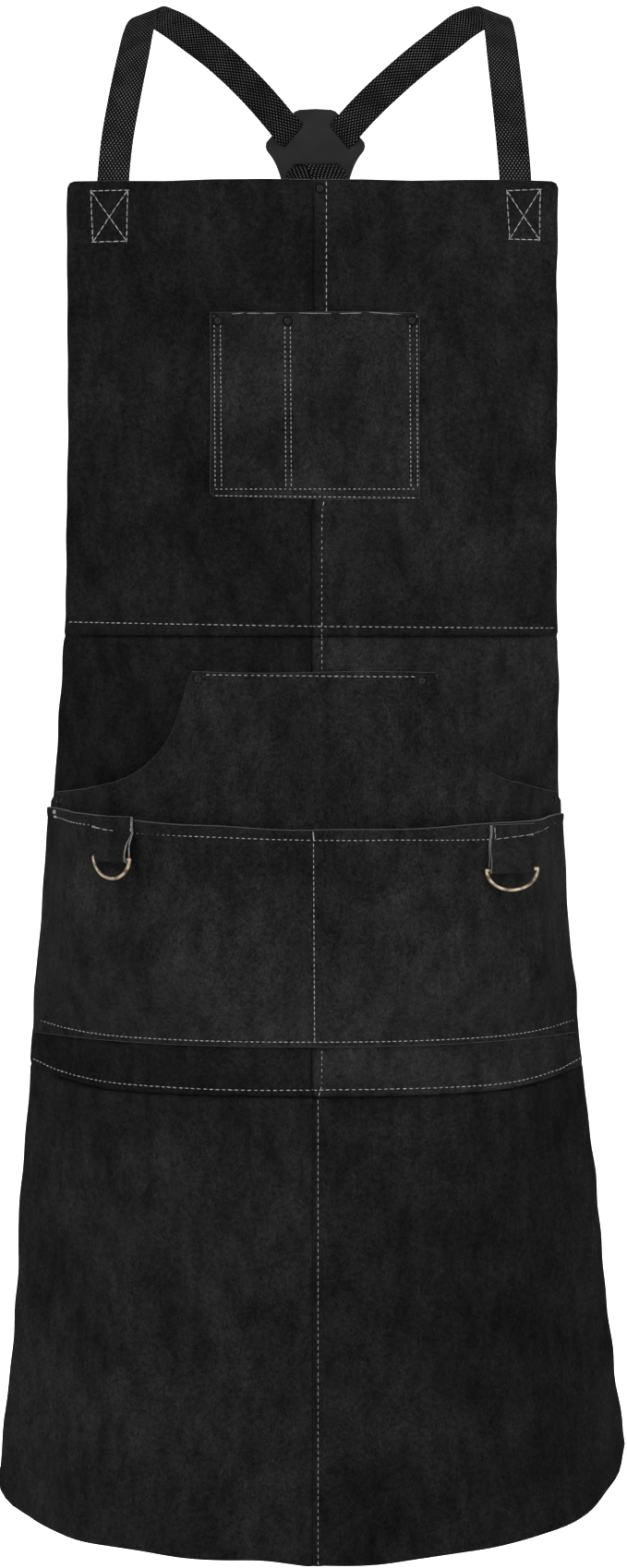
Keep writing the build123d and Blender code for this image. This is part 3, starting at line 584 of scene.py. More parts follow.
def clear_of(outline, points):
    """Which points keep off the segments of a closed outline, so that none of them is split."""
    starts = np.array(outline)
    runs = np.roll(starts, -1, axis=0) - starts
    sizes = np.sum(runs**2, axis=1)
    found = []
    for first in range(0, len(points), 2000):
        gaps = points[first:first + 2000, None, :] - starts
        shares = np.clip(np.sum(gaps * runs, axis=2) / sizes, 0, 1)
        found.append(np.linalg.norm(gaps - shares[:, :, None] * runs, axis=2).min(axis=1) > EDGE_CLEARANCE)
    return np.concatenate(found)


FINE_REACH, FINE_GAPS = 0.006, (0.0005, 0.0013, 0.0024, 0.0045)


def grid_lines(low, high, step, fine=()):
    """Even grid lines, closer together beside each seam or stitch line named in fine."""
    lines = list(np.arange(low + step / 2, high, step))
    for place in fine:
        lines = [line for line in lines if abs(line - place) > FINE_REACH]
        lines += [place + side * gap for side in (-1, 1) for gap in FINE_GAPS] + [place]
    return np.array(sorted(line for line in lines if low < line < high))


def sheet(name, outline, surface, materials, thickness=LEATHER, step=GRID, fine_x=(), fine_z=(), holes=()):
    """Leather cut to a front-view outline of (x, z), laid on a surface, with a rounded raw edge."""
    rim = walk(outline, step * 0.8)
    holes = [walk(hole, step * 0.5) for hole in holes]
    xs = [p[0] for p in rim]
    zs = [p[1] for p in rim]
    columns = grid_lines(min(xs), max(xs), step, fine_x)
    rows = grid_lines(min(zs), max(zs), step, fine_z)
    grid = np.stack([places.ravel() for places in np.meshgrid(columns, rows)], axis=1)
    grid = grid[inside(rim, grid)]
    loops = [rim] + holes
    for loop in loops:
        grid = grid[clear_of(loop, grid)]
    for hole in holes:
        grid = grid[~inside(hole, grid)]
    vertices = [Vector(p) for loop in loops for p in loop] + [Vector(p) for p in grid]
    shapes = []
    first = 0
    for loop in loops:
        shape = list(range(first, first + len(loop)))
        shapes.append(shape if signed_area(loop) > 0 else shape[::-1])
        first += len(loop)
    flat, _, triangles, sources, _, owners = delaunay_2d_cdt(vertices, [], shapes, 1, 1e-7)
    flat = np.array([tuple(v) for v in flat])
    order = {old: new for new, olds in enumerate(sources) for old in olds}
    triangles = [t for t, owner in zip(triangles, owners) if list(owner) == [0]]
    return thick_sheet(name, flat, triangles, loops, order, surface, materials, thickness)


def thick_sheet(name, flat, triangles, loops, order, surface, materials, thickness):
    """Front and back faces of a flat triangle mesh laid on a surface, joined by a bulging edge."""
    x, z = flat[:, 0], flat[:, 1]
    deep = thickness(x, z) if callable(thickness) else np.full(len(x), thickness)
    front = surface(x, z, np.zeros(len(x)))
    back = surface(x, z, deep)
    middle = []
    faces = []
    kinds = []
    count = len(flat)
    ends = flat[np.array(triangles)]
    to_b, to_c = ends[:, 1] - ends[:, 0], ends[:, 2] - ends[:, 0]
    turns = to_b[:, 0] * to_c[:, 1] - to_b[:, 1] * to_c[:, 0]
    for (a, b, c), turn in zip(triangles, turns):
        face = (a, b, c) if turn > 0 else (a, c, b)
        faces += [face, tuple(count + i for i in reversed(face))]
        kinds += [0, 0]
    first = 0
    start = 2 * count
    for number, loop in enumerate(loops):
        size = len(loop)
        ring = [order[first + i] for i in range(size)]
        points = flat[ring]
        ahead = np.roll(points, -1, axis=0) - np.roll(points, 1, axis=0)
        normal = np.stack([ahead[:, 1], -ahead[:, 0]], axis=1) / np.linalg.norm(ahead, axis=1)[:, None]
        area = signed_area(points)
        outward = normal * (1 if area > 0 else -1) * (1 if number == 0 else -1)
        out = points + outward * deep[ring][:, None] * EDGE_BULGE
        middle.append(surface(out[:, 0], out[:, 1], deep[ring] / 2))
        for i in range(size):
            j = (i + 1) % size
            quads = [(ring[i], start + i, start + j, ring[j]),
                     (start + i, count + ring[i], count + ring[j], start + j)]
            if (area > 0) != (number == 0):
                quads = [q[::-1] for q in quads]
            faces += quads
            kinds += [1, 1]
        first += size
        start += size
    points = np.concatenate([front, back] + middle)
    return make_object(name, points, faces, materials, kinds, sharp=75)


def stitch_mesh():
    """One stitch of unit length along X, its ends dipping below the surface; Z is outwards."""
    rings, sides = 6, 6
    points = []
    for i in range(rings + 1):
        share = i / rings
        size = math.sin(math.pi * min(max(share, 0.06), 0.94)) ** 0.45
        rise = math.sin(math.pi * share) ** 0.6 - 0.55
        for k in range(sides):
            angle = 2 * math.pi * k / sides
            across, above = 0.5 * size * math.cos(angle), 0.5 * size * math.sin(angle)
            points.append((share - 0.5, across, above + rise * 0.5))
    faces = [tuple(range(sides))[::-1], tuple(rings * sides + k for k in range(sides))]
    for i in range(rings):
        for k in range(sides):
            j = (k + 1) % sides
            faces.append((i * sides + k, i * sides + j, (i + 1) * sides + j, (i + 1) * sides + k))
    return np.array(points), faces


STITCH, STITCH_GAP, THREAD_SIZE = 0.0034, 0.0016, 0.00062
STITCH_POINTS, STITCH_FACES = stitch_mesh()


class Seams:
    """Stitches of one piece of sewing, gathered into one mesh."""

    def __init__(self, seed):
        self.points = []
        self.faces = []
        self.draw = np.random.default_rng(seed)

    def line(self, path, place, length=STITCH, gap=STITCH_GAP, size=THREAD_SIZE):
        """Stitches along a path of (x, z); place(x, z) gives the points on the surface."""
        path = np.array(path)
        shares = np.linspace(0, 1, 60)[:-1, None]
        pieces = [start + (end - start) * shares for start, end in zip(path, path[1:])]
        fine = np.concatenate(pieces + [path[-1:]])
        spots = place(fine[:, 0], fine[:, 1])
        walked = np.concatenate([[0], np.cumsum(np.linalg.norm(np.diff(spots, axis=0), axis=1))])
        total = walked[-1]
        count = max(1, round(total / (length + gap)))
        pitch = total / count
        for i in range(count):
            begin = i * pitch + gap / 2 + self.draw.uniform(-0.12, 0.12) * gap
            end = (i + 1) * pitch - gap / 2 + self.draw.uniform(-0.12, 0.12) * gap
            ends = [np.array([np.interp(at, walked, fine[:, c]) for c in (0, 1)]) for at in (begin, end)]
            self.one(ends[0], ends[1], place, size)

    def one(self, start, end, place, size):
        first = place(start[:1], start[1:])[0]
        last = place(end[:1], end[1:])[0]
        middle = (start + end) / 2
        centre = place(middle[:1], middle[1:])[0]
        outward = wrap_normal(middle[:1], middle[1:])[0]
        run = last - first
        length = np.linalg.norm(run)
        run = run / length
        side = np.cross(outward, run)
        side = side / np.linalg.norm(side)
        up = np.cross(run, side)
        tilt = self.draw.uniform(-0.09, 0.09)
        shape = STITCH_POINTS
        local = (shape[:, :1] * length * run + (shape[:, 1:2] * size + tilt * shape[:, :1] * length) * side
                 + shape[:, 2:3] * size * up)
        base = len(self.points)
        self.points += list(centre + local)
        self.faces += [tuple(base + k for k in face) for face in STITCH_FACES]

    def done(self, name, body="apron"):
        piece = make_object(name, self.points, self.faces, [THREAD], sharp=80)
        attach(piece, body)
        return piece


# ---- the body leather ----
EDGE_STEPS = 40
EDGE_WAVE = 0.0007          # how far the cut top and hem wander up and down


def side_edge(side, low, high, pulled=0.0):
    """The free edge of the leather on one side, a little uneven; a pocket's is pulled in at its bottom."""
    heights = np.linspace(low, high, EDGE_STEPS)
    left, right, _ = body_values(heights)
    half = left if side < 0 else right
    wander = 0.0004 * np.sin(heights * 41 + side) + 0.0002 * np.sin(heights * 130 + 2 * side)
    flare = 0.0036 * smooth((HEM + 0.13 - heights) / 0.05)
    reach = half + 0.0004 + wander + flare - pulled * smooth((HAND_BOTTOM + 0.037 - heights) / 0.036)
    return [(side * r, z) for r, z in zip(reach, heights)]


# distance out from the middle and height above the lowest point, on each side
HEM_SHAPE = {
    -1: [(0.0, 0.0006), (0.074, 0.0030), (0.131, 0.0058), (0.196, 0.0092), (0.231, 0.0132),
         (0.2490, 0.0200), (0.2540, 0.0275), (0.2550, 0.042)],
    1: [(0.0, 0.0006), (0.060, 0.0022), (0.127, 0.0062), (0.175, 0.0124), (0.204, 0.0172),
        (0.2160, 0.0226), (0.2320, 0.0345), (0.2430, 0.0440), (0.2515, 0.066)],
}


def between_stations(t, span, places, slopes, i):
    """A share of the way from one point of a smooth line to the next, a cubic with the slopes at both."""
    return ((2 * t**3 - 3 * t**2 + 1) * places[i] + (t**3 - 2 * t**2 + t) * span * slopes[i]
            + (3 * t**2 - 2 * t**3) * places[i + 1] + (t**3 - t**2) * span * slopes[i + 1])


def curve_through(points, count):
    """A smooth line through points of any dimension, with even spacing by index."""
    points = np.array(points, float)
    lengths = np.concatenate([[0], np.cumsum(np.linalg.norm(np.diff(points, axis=0), axis=1))])
    spots = np.linspace(0, lengths[-1], count)
    slopes = np.gradient(points, lengths, axis=0)
    result = []
    for spot in spots:
        i = min(max(int(np.searchsorted(lengths, spot)) - 1, 0), len(points) - 2)
        span = lengths[i + 1] - lengths[i]
        result.append(between_stations((spot - lengths[i]) / span, span, points, slopes, i))
    return np.array(result)


def panel_outline(side, low, high):
    """Half of the body leather between two heights; the middle edge follows the seam."""
    middle = [(float(centre_valley(z)) + side * 0.0001, z) for z in np.linspace(high, low, EDGE_STEPS)]
    low_end, high_end = [z + (EDGE_CLIMB if z == SKIRT_SEAM else 0.0) for z in (low, high)]
    outer = side_edge(side, low_end, high_end)
    if low == SKIRT_SEAM:
        outer = [(x, low + float(edge_climb(x))) for x in np.linspace(0, outer[0][0], 30)[1:-1]] + outer
    if high == SKIRT_SEAM:
        outer = outer + [(x, high + float(edge_climb(x))) for x in np.linspace(outer[-1][0], 0, 30)[1:-1]]
    if high == BIB_TOP:
        corner = outer[-1]
        outer = outer[:-1] + [(corner[0], high - 0.005), (corner[0] - side * 0.0015, high - 0.0015),
                              (corner[0] - side * 0.005, high)]
        top = [(corner[0] * share, high + EDGE_WAVE * math.sin(share * 9 + side))
               for share in (0.8, 0.6, 0.4, 0.2)]
        outer = [p for p in outer if p[1] <= high] + top
    if low == HEM:
        hem = curve_through(HEM_SHAPE[side], EDGE_STEPS)
        hem = [(side * x, HEM + rise + EDGE_WAVE * math.sin(x * 60 + side)) for x, rise in hem[1:]]
        outer = hem + [p for p in outer if p[1] > HEM + HEM_SHAPE[side][-1][1] + 0.004]
        middle[-1] = (middle[-1][0], HEM + 0.0004)
    return middle + outer


def declare_leather(piece, body, node):
    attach(piece, body)
    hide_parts(node)


# flat size of each half panel as cut: width at the widest, and length
PANEL_FLAT = {
    "bib": ((0.206, 0.352), WAIST_SEAM, BIB_TOP),
    "waist": ((0.262, 0.356), SKIRT_SEAM, WAIST_SEAM),
    "skirt": ((0.306, 0.364), HEM, SKIRT_SEAM),
}
for word, side in (("left", -1), ("right", 1)):
    for part, (flat, low, high) in PANEL_FLAT.items():
        lines_x = [0.0, 0.0035, side * 0.0007] + ([0.0064, 0.0099] if side > 0 else [])
        lines_z = [z for z in (WAIST_SEAM, -0.487, SKIRT_SEAM, -0.8437) if low <= z <= high]
        hide = suede(f"{word}_{part}_suede", PANEL_TONE[f"{word}_{part}"])
        leather = sheet(f"{word}_{part}_leather", panel_outline(side, low, high), surface_of(lie),
                        [hide, EDGE], fine_x=lines_x, fine_z=lines_z)
        declare_leather(leather, "apron", f"{word}_{part}_panel")

# ---- pockets ----
chest_outline = [
    (CHEST_LEFT, CHEST_TOP + 0.0004), (-0.03, CHEST_TOP), (0.04, CHEST_TOP + 0.0003),
    (CHEST_RIGHT - 0.003, CHEST_TOP), (CHEST_RIGHT, CHEST_TOP - 0.003), (CHEST_RIGHT - 0.0006, -0.32),
    (CHEST_RIGHT, CHEST_BOTTOM + 0.001), (0.02, CHEST_BOTTOM), (CHEST_LEFT + 0.002, CHEST_BOTTOM + 0.003),
    (CHEST_LEFT, CHEST_BOTTOM + 0.005), (CHEST_LEFT + 0.0005, -0.32),
]
chest = sheet("chest_pocket_leather", chest_outline, surface_of(chest_face), [POCKET_SUEDE, EDGE],
              step=0.0035, fine_x=CHEST_COLUMNS, fine_z=(-0.3815, -0.387))
declare_leather(chest, "apron", "chest_pocket")


POCKET_PULL = 0.0034
# the slanted side opening as (distance out, height), where it stands on the raised pocket
HAND_OPENING = [(HAND_TOP_HALF, HAND_TOP - 0.002), (0.0985, -0.535), (0.116, -0.580), (0.143, -0.6035),
                (0.170, -0.6125)]


def hand_outline():
    """Top edge, curved side openings, then the sides down to the bottom seam."""
    reach = HAND_TOP_HALF - 0.002
    top = [(x, HAND_TOP + 0.0006 * math.sin(x * 40)) for x in np.linspace(-reach, reach, 20)]
    sides = {}
    for side in (-1, 1):
        edge = side_edge(side, HAND_BOTTOM, HAND_CORNER - 0.003, POCKET_PULL)[::-1]
        corner = edge[0][0]
        points = [(base_x(side * x, z, hand_face), z) for x, z in HAND_OPENING]
        points.append((corner - side * 0.004, HAND_CORNER + 0.004))
        opening = [tuple(p) for p in curve_through(points, 34)]
        sides[side] = opening + edge
    return top + sides[1] + sides[-1][::-1]


hand = sheet("hand_pocket_leather", hand_outline(), surface_of(hand_face), [POCKET_SUEDE, EDGE],
             fine_z=(-0.5255,))
declare_leather(hand, "apron", "hand_pocket")


def tool_outline():
    left, right = [side_edge(side, TOOL_BOTTOM, TOOL_TOP_RIGHT - 0.002, POCKET_PULL) for side in (-1, 1)]
    places = np.linspace(left[-1][0], right[-1][0], 60)
    rim = [(x, float(tool_rim(x)) + 0.0005 * math.sin(x * 70)) for x in places]
    return rim + right[::-1][1:] + left[:-1]


def hem_thickness(x, z):
    """The hem is turned in, so the top border of the tool pocket is two layers thick."""
    return LEATHER * (1 + smooth((z - tool_stitch(x) + 0.0035) / 0.0015))


tool = sheet("tool_pocket_leather", tool_outline(), surface_of(tool_face), [POCKET_SUEDE, EDGE],
             thickness=hem_thickness, fine_x=(0.0,), fine_z=(-0.6385, -0.6505, -0.8065))
declare_leather(tool, "apron", "tool_pocket")


# ---- tool loops ----
def loop_plane(word):
    """Origin at the seam on the pocket face, then the directions across, up and out."""
    x, z, turn, stand_off, _ = LOOPS[word]
    outward = np.array((math.sin(turn), -math.cos(turn), 0.0))
    roof = HAND_GAP + TOOL_GAP + 2 * (LAYER_GAP + LEATHER)
    place = np.array([base_x(x, z, lambda x, z: roof)])
    point = wrap_point(place, np.array([z]), np.array([roof]))[0]
    sideways = np.array((math.cos(turn), math.sin(turn), 0))
    return point + outward * stand_off, sideways, np.array((0, 0, 1.0)), outward


def loop_levels():
    back = 0.0004
    bar = back + LOOP_STRIP + RING_PLAY + RING_WIRE
    return back, bar


def loop_path(length):
    """Side view of the folded strip as (height, distance out): down the back, round the bar and up."""
    back, bar = loop_levels()
    radius = RING_WIRE + RING_PLAY + LOOP_STRIP / 2
    first = back + LOOP_STRIP / 2
    second = first + LOOP_STRIP + 0.0001
    path = [(height, first) for height in np.linspace(LOOP_TOP, -length, 34)]
    path += [(-length - radius * math.sin(angle), bar - radius * math.cos(angle))
             for angle in np.linspace(0.25, math.pi - 0.25, 12)]
    for height in np.linspace(-length, LOOP_TOP, 34):
        share = float(smooth((height + length) / (length - 0.003)))
        path.append((height, bar + radius + (second - bar - radius) * share))
    return np.array(path)


def make_loop(word):
    origin, sideways, up, outward = loop_plane(word)
    x, seam, _, _, length = LOOPS[word]
    middle, lean = LOOP_SEWN[word]
    back, _ = loop_levels()
    path = loop_path(length)
    ahead = np.gradient(path, axis=0)
    ahead /= np.linalg.norm(ahead, axis=1)[:, None]
    thin = np.stack([ahead[:, 1], -ahead[:, 0]], axis=1) * LOOP_STRIP / 2
    widths = np.linspace(-1, 1, 15)

    def place(profile, v, skew):
        height, level = profile[:, 0], profile[:, 1]
        hanging = origin + np.outer(v, sideways) + np.outer(height, up) + np.outer(level, outward)
        sewn_x = middle + v * lean
        sewn_z = seam + height
        lift = level - back + 0.0003 + skew
        under = tool_face(sewn_x, np.minimum(sewn_z, tool_rim(sewn_x) - 0.001))
        sewn = wrap_point(sewn_x, sewn_z, under + lift)
        share = smooth((height + 0.013) / 0.013)[:, None]
        return hanging * (1 - share) + sewn * share

    points = []
    faces = []
    kinds = []
    rows = len(path)
    wobble = np.random.default_rng(3 if word == "left" else 4).uniform(-0.0003, 0.0003, 4)
    for sign in (1, -1):
        for w in widths:
            edge = wobble[0] * np.sin(path[:, 0] * 300) + wobble[1] * np.sin(path[:, 0] * 170 + 1)
            v = w * LOOP_WIDTH / 2 + edge * abs(w)
            bow = 0.0003 * (1 - w * w) * np.sin(np.linspace(0, math.pi, rows))
            points.append(place(path + sign * thin, v, bow))
    points = np.concatenate(points)
    columns = len(widths)
    for layer in (0, 1):
        for c in range(columns - 1):
            for r in range(rows - 1):
                a = layer * columns * rows + c * rows + r
                quad = (a, a + 1, a + rows + 1, a + rows)
                faces.append(quad if layer == 0 else quad[::-1])
                kinds.append(0)
    other = columns * rows
    for c in (0, columns - 1):
        for r in range(rows - 1):
            a = c * rows + r
            quad = (a, a + other, a + other + 1, a + 1)
            faces.append(quad if c == 0 else quad[::-1])
            kinds.append(1)
    for r in (0, rows - 1):
        for c in range(columns - 1):
            a = c * rows + r
            quad = (a, a + rows, a + rows + other, a + other)
            faces.append(quad if r == 0 else quad[::-1])
            kinds.append(1)
    piece = make_object(f"{word}_loop_strip", points, faces, [LOOP_SUEDE, PALE_EDGE], kinds, sharp=60)
    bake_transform(piece)
    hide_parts(f"{word}_tool_loop", f"{word}_loop_anchor")


# ---- stitching ----
on_body, on_chest, on_hand, on_tool = [top_of(face) for face in (lie, chest_face, hand_face, tool_face)]
on_loop = top_of(tool_face, 2 * LOOP_STRIP + 0.0005)    # on top of the two sewn layers of a loop's strip


def run_of(function, start, end, count=24):
    """Path of (x, z) along a height function of x."""
    return [(x, float(function(x))) for x in np.linspace(start, end, count)]


def column_of(function, start, end, count=16):
    """Path of (x, z) along a place function of the height."""
    return [(float(function(z)), z) for z in np.linspace(start, end, count)]


for word in LOOPS:
    make_loop(word)

seams = Seams(11)
seams.line(column_of(centre_stitch, BIB_TOP - 0.0008, CHEST_TOP - 0.0005), on_body)
seams.line(column_of(centre_stitch, CHEST_BOTTOM - 0.001, HAND_TOP + 0.001), on_body)
seams.line(run_of(waist_stitch, -0.1905, 0.1875), on_body)
seams.done("centre_and_waist_stitching")

seams = Seams(12)
seams.line(run_of(skirt_stitch, -0.222, 0.2115), on_body)
seams.line(column_of(centre_stitch, TOOL_BOTTOM - 0.002, SKIRT_SEAM + 0.001), on_body)
seams.line(column_of(centre_stitch, SKIRT_SEAM - 0.001, HEM + 0.001), on_body, size=0.0004)
seams.done("skirt_stitching")

seams = Seams(13)
for place in CHEST_COLUMNS:
    high = CHEST_TOP - (0.0015 if abs(place) > 0.06 else 0.010)
    seams.line([(place, high), (place + 0.0008, -0.3800)], on_chest, length=0.0022, gap=0.0014)
for row in (0, 1):
    seams.line(run_of(lambda x: chest_row(x, row), -0.0763, 0.0785), on_chest, length=0.0024, gap=0.0014)
for start, end, length in ((-0.064, -0.028, 0.012), (-0.012, 0.068, 0.024)):
    level = CHEST_TOP - 0.0006
    seams.line([(start, level), (end, level)], on_chest, length=length, gap=0.002, size=0.0004)
seams.done("chest_pocket_stitching")

seams = Seams(14)
seams.line(run_of(hand_stitch, -0.0835, 0.0785), on_hand)
seams.done("hand_pocket_stitching")

seams = Seams(15)
LOOP_STITCH = [(-0.1545, -0.1275), (0.1255, 0.1520)]
borders = [-0.2005] + [place for ends in LOOP_STITCH for place in ends] + [0.1885]
for start, end in zip(borders[::2], borders[1::2]):
    seams.line(run_of(tool_stitch, start + 0.001, end - 0.001), on_tool, length=0.0030, gap=0.0016)
for side, (start, end) in zip((-1, 1), LOOP_STITCH):
    seams.line(run_of(tool_stitch, start, end), on_loop, length=0.0068, gap=0.0002, size=0.0007)
    outer, inner = (start, end) if side < 0 else (end, start)
    level = float(tool_stitch(outer))
    for shift in (-0.0006, 0.0006):
        seams.line([(outer + shift, level - 0.0011), (outer + shift, level + 0.0011)], on_loop,
                   length=0.002, gap=0.0001, size=0.0009)
    level = float(tool_stitch(inner))
    seams.line([(inner, level), (inner - side * 0.0006, level + 0.0095)], on_loop, length=0.0045, gap=0.0003)
seams.line([(0.0, TOOL_TOP_CENTRE - 0.0005), (0.0, TOOL_TOP_CENTRE - 0.0085)], on_tool,
           length=0.0075, gap=0.0003, size=0.0009)
seams.line([(0.0, TOOL_TOP_CENTRE - 0.009), (0.0008, -0.8065)], on_tool, length=0.0030, gap=0.0012)
seams.line(run_of(pocket_row, -0.2125, 0.2030), on_tool, length=0.0030, gap=0.0014)
for shift in np.linspace(-0.0012, 0.0012, 4):
    seams.line([(-0.2005 + shift, -0.6325), (-0.2003 + shift, -0.6400)], on_tool, length=0.0034, gap=0.0003,
               size=0.0007)
seams.done("tool_pocket_stitching")


def box_and_cross(name, corners):
    """Square stitching with a cross through it, which holds the end of a shoulder strap."""
    work = Seams(len(name))
    top_left, top_right, low_right, low_left = corners
    over = 0.0016
    for start, end in zip(corners, corners[1:] + corners[:1]):
        run = (end[0] - start[0], end[1] - start[1])
        size = math.hypot(*run)
        past = (end[0] + run[0] / size * over, end[1] + run[1] / size * over)
        work.line([start, past], on_body, length=0.0044, gap=0.0008, size=0.0007)
    for start, end in ((top_left, low_right), (low_left, top_right)):
        work.line([start, end], on_body, length=0.0050, gap=0.0005, size=0.0007)
    work.done(name)


box_and_cross("left_strap_box_stitching",
              [(-0.1716, -0.1512), (-0.1432, -0.1508), (-0.1440, -0.1902), (-0.1702, -0.1905)])
box_and_cross("right_strap_box_stitching",
              [(0.1492, -0.1512), (0.1750, -0.1498), (0.1742, -0.1888), (0.1512, -0.1885)])


# ---- webbing ----
STRAP_TAIL_ON_BIB = 0.047
YOKE_CENTRE_X, YOKE_FACE_Y, YOKE_THICKNESS = 0.0015, 0.104, 0.0024
SOCKET_START, GRIP_BAR, END_BAR, STRAP_END = 0.017, 0.0794, 0.093, 0.118
BAR_TURN = 0.0029
TAB_AIR = 0.0013
TAB_RISE = 0.96
CROSSING_STEP = 0.0023
TAB_EDGE = {"left": (-0.2006, -0.0174, -0.6184), "right": (0.188, -0.0174, -0.6184)}
STRAP_PULL = (-0.22, 0.70, 0.68)
SHOULDER_X = {"left": (-0.1566, -0.1552), "right": (0.1572, 0.1562)}
# stations of (point, line across the band) from above the bib over the shoulder to below the yoke
SHOULDER = {
    "left": [
        ((-0.1522, -0.1025, -0.115), (0.98, -0.15, -0.1)),
        ((-0.1472, -0.088, -0.08), (0.98, -0.12, -0.14)),
        ((-0.1409, -0.062, -0.041), (0.97, -0.2, -0.1)),
        ((-0.1378, -0.042, -0.0205), (0.95, -0.3, 0)),
        ((-0.1346, -0.02, -0.0055), (0.88, -0.42, 0.18)),
        ((-0.13, 0.002, 0.0008), (0.83, -0.46, 0.3)),
        ((-0.121, 0.024, -0.0012), (0.76, -0.4, 0.5)),
        ((-0.109, 0.043, -0.006), (0.7, -0.22, 0.66)),
        ((-0.097, 0.058, -0.013), (0.66, -0.08, 0.74)),
        ((-0.079, 0.076, -0.025), (0.66, 0, 0.75)),
        ((-0.06, 0.089, -0.041), (0.68, 0, 0.73)),
        ((-0.042, 0.097, -0.059), (0.72, 0, 0.69)),
        ((-0.026, 0.1012, -0.0775), (0.75, 0, 0.66)),
        ((-0.0212, 0.1024, -0.0832), (0.75, 0, 0.66)),
        ((-0.0156, 0.1066, -0.0896), (0.75, 0, 0.66)),
        ((-0.0108, 0.1076, -0.0946), (0.8, 0, 0.6)),
        ((-0.001, 0.1076, -0.1036), (0.96, 0, 0.28)),
        ((0.0046, 0.1074, -0.1084), (1, 0, 0)),
        ((0.0098, 0.1013, -0.1149), (1, 0, 0)),
        ((0.0118, 0.1009, -0.1186), (1, 0, 0)),
        ((0.017, 0.1009, -0.13), (0.96, 0, 0.28)),
    ],
    "right": [
        ((0.1538, -0.1025, -0.115), (0.98, 0.15, 0.06)),
        ((0.151, -0.088, -0.08), (0.98, 0.14, 0.08)),
        ((0.148, -0.062, -0.041), (0.97, 0.2, 0.06)),
        ((0.1466, -0.042, -0.0205), (0.95, 0.3, 0)),
        ((0.145, -0.02, -0.0055), (0.88, 0.42, -0.14)),
        ((0.142, 0.002, 0.0008), (0.83, 0.46, -0.28)),
        ((0.1345, 0.024, 0.0006), (0.76, 0.4, -0.46)),
        ((0.122, 0.044, -0.0034), (0.7, 0.24, -0.64)),
        ((0.106, 0.064, -0.0136), (0.64, 0.08, -0.76)),
        ((0.084, 0.082, -0.0288), (0.62, 0, -0.78)),
        ((0.0635, 0.0925, -0.0456), (0.64, 0, -0.76)),
        ((0.045, 0.098, -0.0626), (0.68, 0, -0.72)),
        ((0.0296, 0.1012, -0.079), (0.75, 0, -0.66)),
        ((0.025, 0.1024, -0.0844), (0.75, 0, -0.66)),
        ((0.0192, 0.1074, -0.0908), (0.75, 0, -0.66)),
        ((0.0146, 0.1097, -0.0956), (0.8, 0, -0.6)),
        ((0.005, 0.1098, -0.1042), (0.96, 0, -0.28)),
        ((-0.0004, 0.1095, -0.109), (1, 0, 0)),
        ((-0.0056, 0.1035, -0.1156), (1, 0, 0)),
        ((-0.0076, 0.103, -0.1192), (1, 0, 0)),
        ((-0.0128, 0.103, -0.1306), (0.96, 0, -0.28)),
    ],
}
# stations of the lower run on the right side, from below the yoke to the waist buckle
LOWER_RUN = [
    ((0.0215, 0.101, -0.143), (0.94, 0.02, 0.34)),
    ((0.0365, 0.1048, -0.184), (0.92, 0.05, 0.38)),
    ((0.062, 0.111, -0.275), (0.92, 0.08, 0.36)),
    ((0.104, 0.112, -0.375), (0.86, -0.26, 0.4)),
    ((0.138, 0.101, -0.452), (0.66, -0.62, 0.36)),
]


def sewn_on_bib(x, z):
    """Station of a strap's end, flat against the inner face of the bib leather."""
    place, height = np.array([x]), np.array([z])
    normal = wrap_normal(place, height)[0]
    point = wrap_point(place, height, lie(place, height) - LEATHER - 0.0004 - WEBBING / 2)[0]
    return tuple(point), (-normal[1], normal[0], 0.0)


def buckle_frame(word):
    """Origin at the sewn edge, then the directions along the pull, across the band and outwards."""
    side = -1 if word == "left" else 1
    pull = Vector((STRAP_PULL[0] * side, STRAP_PULL[1], STRAP_PULL[2])).normalized()
    outward = Vector((side, 0, 0))
    outward = (outward - pull * outward.dot(pull)).normalized()
    return Vector(TAB_EDGE[word]), pull, outward.cross(pull), outward


def turn_round_bar(plane, across_line, along, direction):
    """Stations of webbing going half round a bar, from its outer to its inner side."""
    origin, pull, _, outward = plane
    stations = []
    for angle in np.linspace(0, math.pi, 9):
        ahead = along + direction * BAR_TURN * math.sin(angle)
        stations.append((tuple(origin + pull * ahead + outward * BAR_TURN * math.cos(angle)), across_line))
    return stations


def strap_stations(word):
    """Stations of one strap from the bib to its free end, and where its lower run and its tail begin."""
    waist = "right" if word == "left" else "left"
    side = 1 if waist == "right" else -1
    low_x, top_x = SHOULDER_X[word]
    stations = [sewn_on_bib(low_x, BIB_TOP - STRAP_TAIL_ON_BIB),
                sewn_on_bib((low_x + top_x) / 2, BIB_TOP - 0.022), sewn_on_bib(top_x, BIB_TOP)]
    stations += SHOULDER[word]
    lower_start = len(stations) - 1
    shift = TAB_EDGE[waist][0] - side * TAB_EDGE["right"][0]
    for i, (point, line) in enumerate(LOWER_RUN):
        share = (i + 1) / len(LOWER_RUN)
        behind = CROSSING_STEP * (1 - share) if side < 0 else 0
        stations.append(((side * point[0] + shift * share, point[1] + behind, point[2]),
                         (line[0], side * line[1], side * line[2])))
    plane = buckle_frame(waist)
    origin, pull, band, outward = plane
    band = tuple(band)
    for along, out in ((STRAP_END + 0.026, BAR_TURN + 0.001), (STRAP_END, BAR_TURN), (END_BAR, BAR_TURN)):
        stations.append((tuple(origin + pull * along + outward * out), band))
    tail_start = len(stations) - 2
    stations += turn_round_bar(plane, band, GRIP_BAR, -1)
    for past, away in ((0, 0), (0.015, 0.0006), (0.048, 0.004)):
        place = origin + pull * (END_BAR + past) - outward * (BAR_TURN + away)
        stations.append((tuple(place), band))
    return stations, lower_start, tail_start


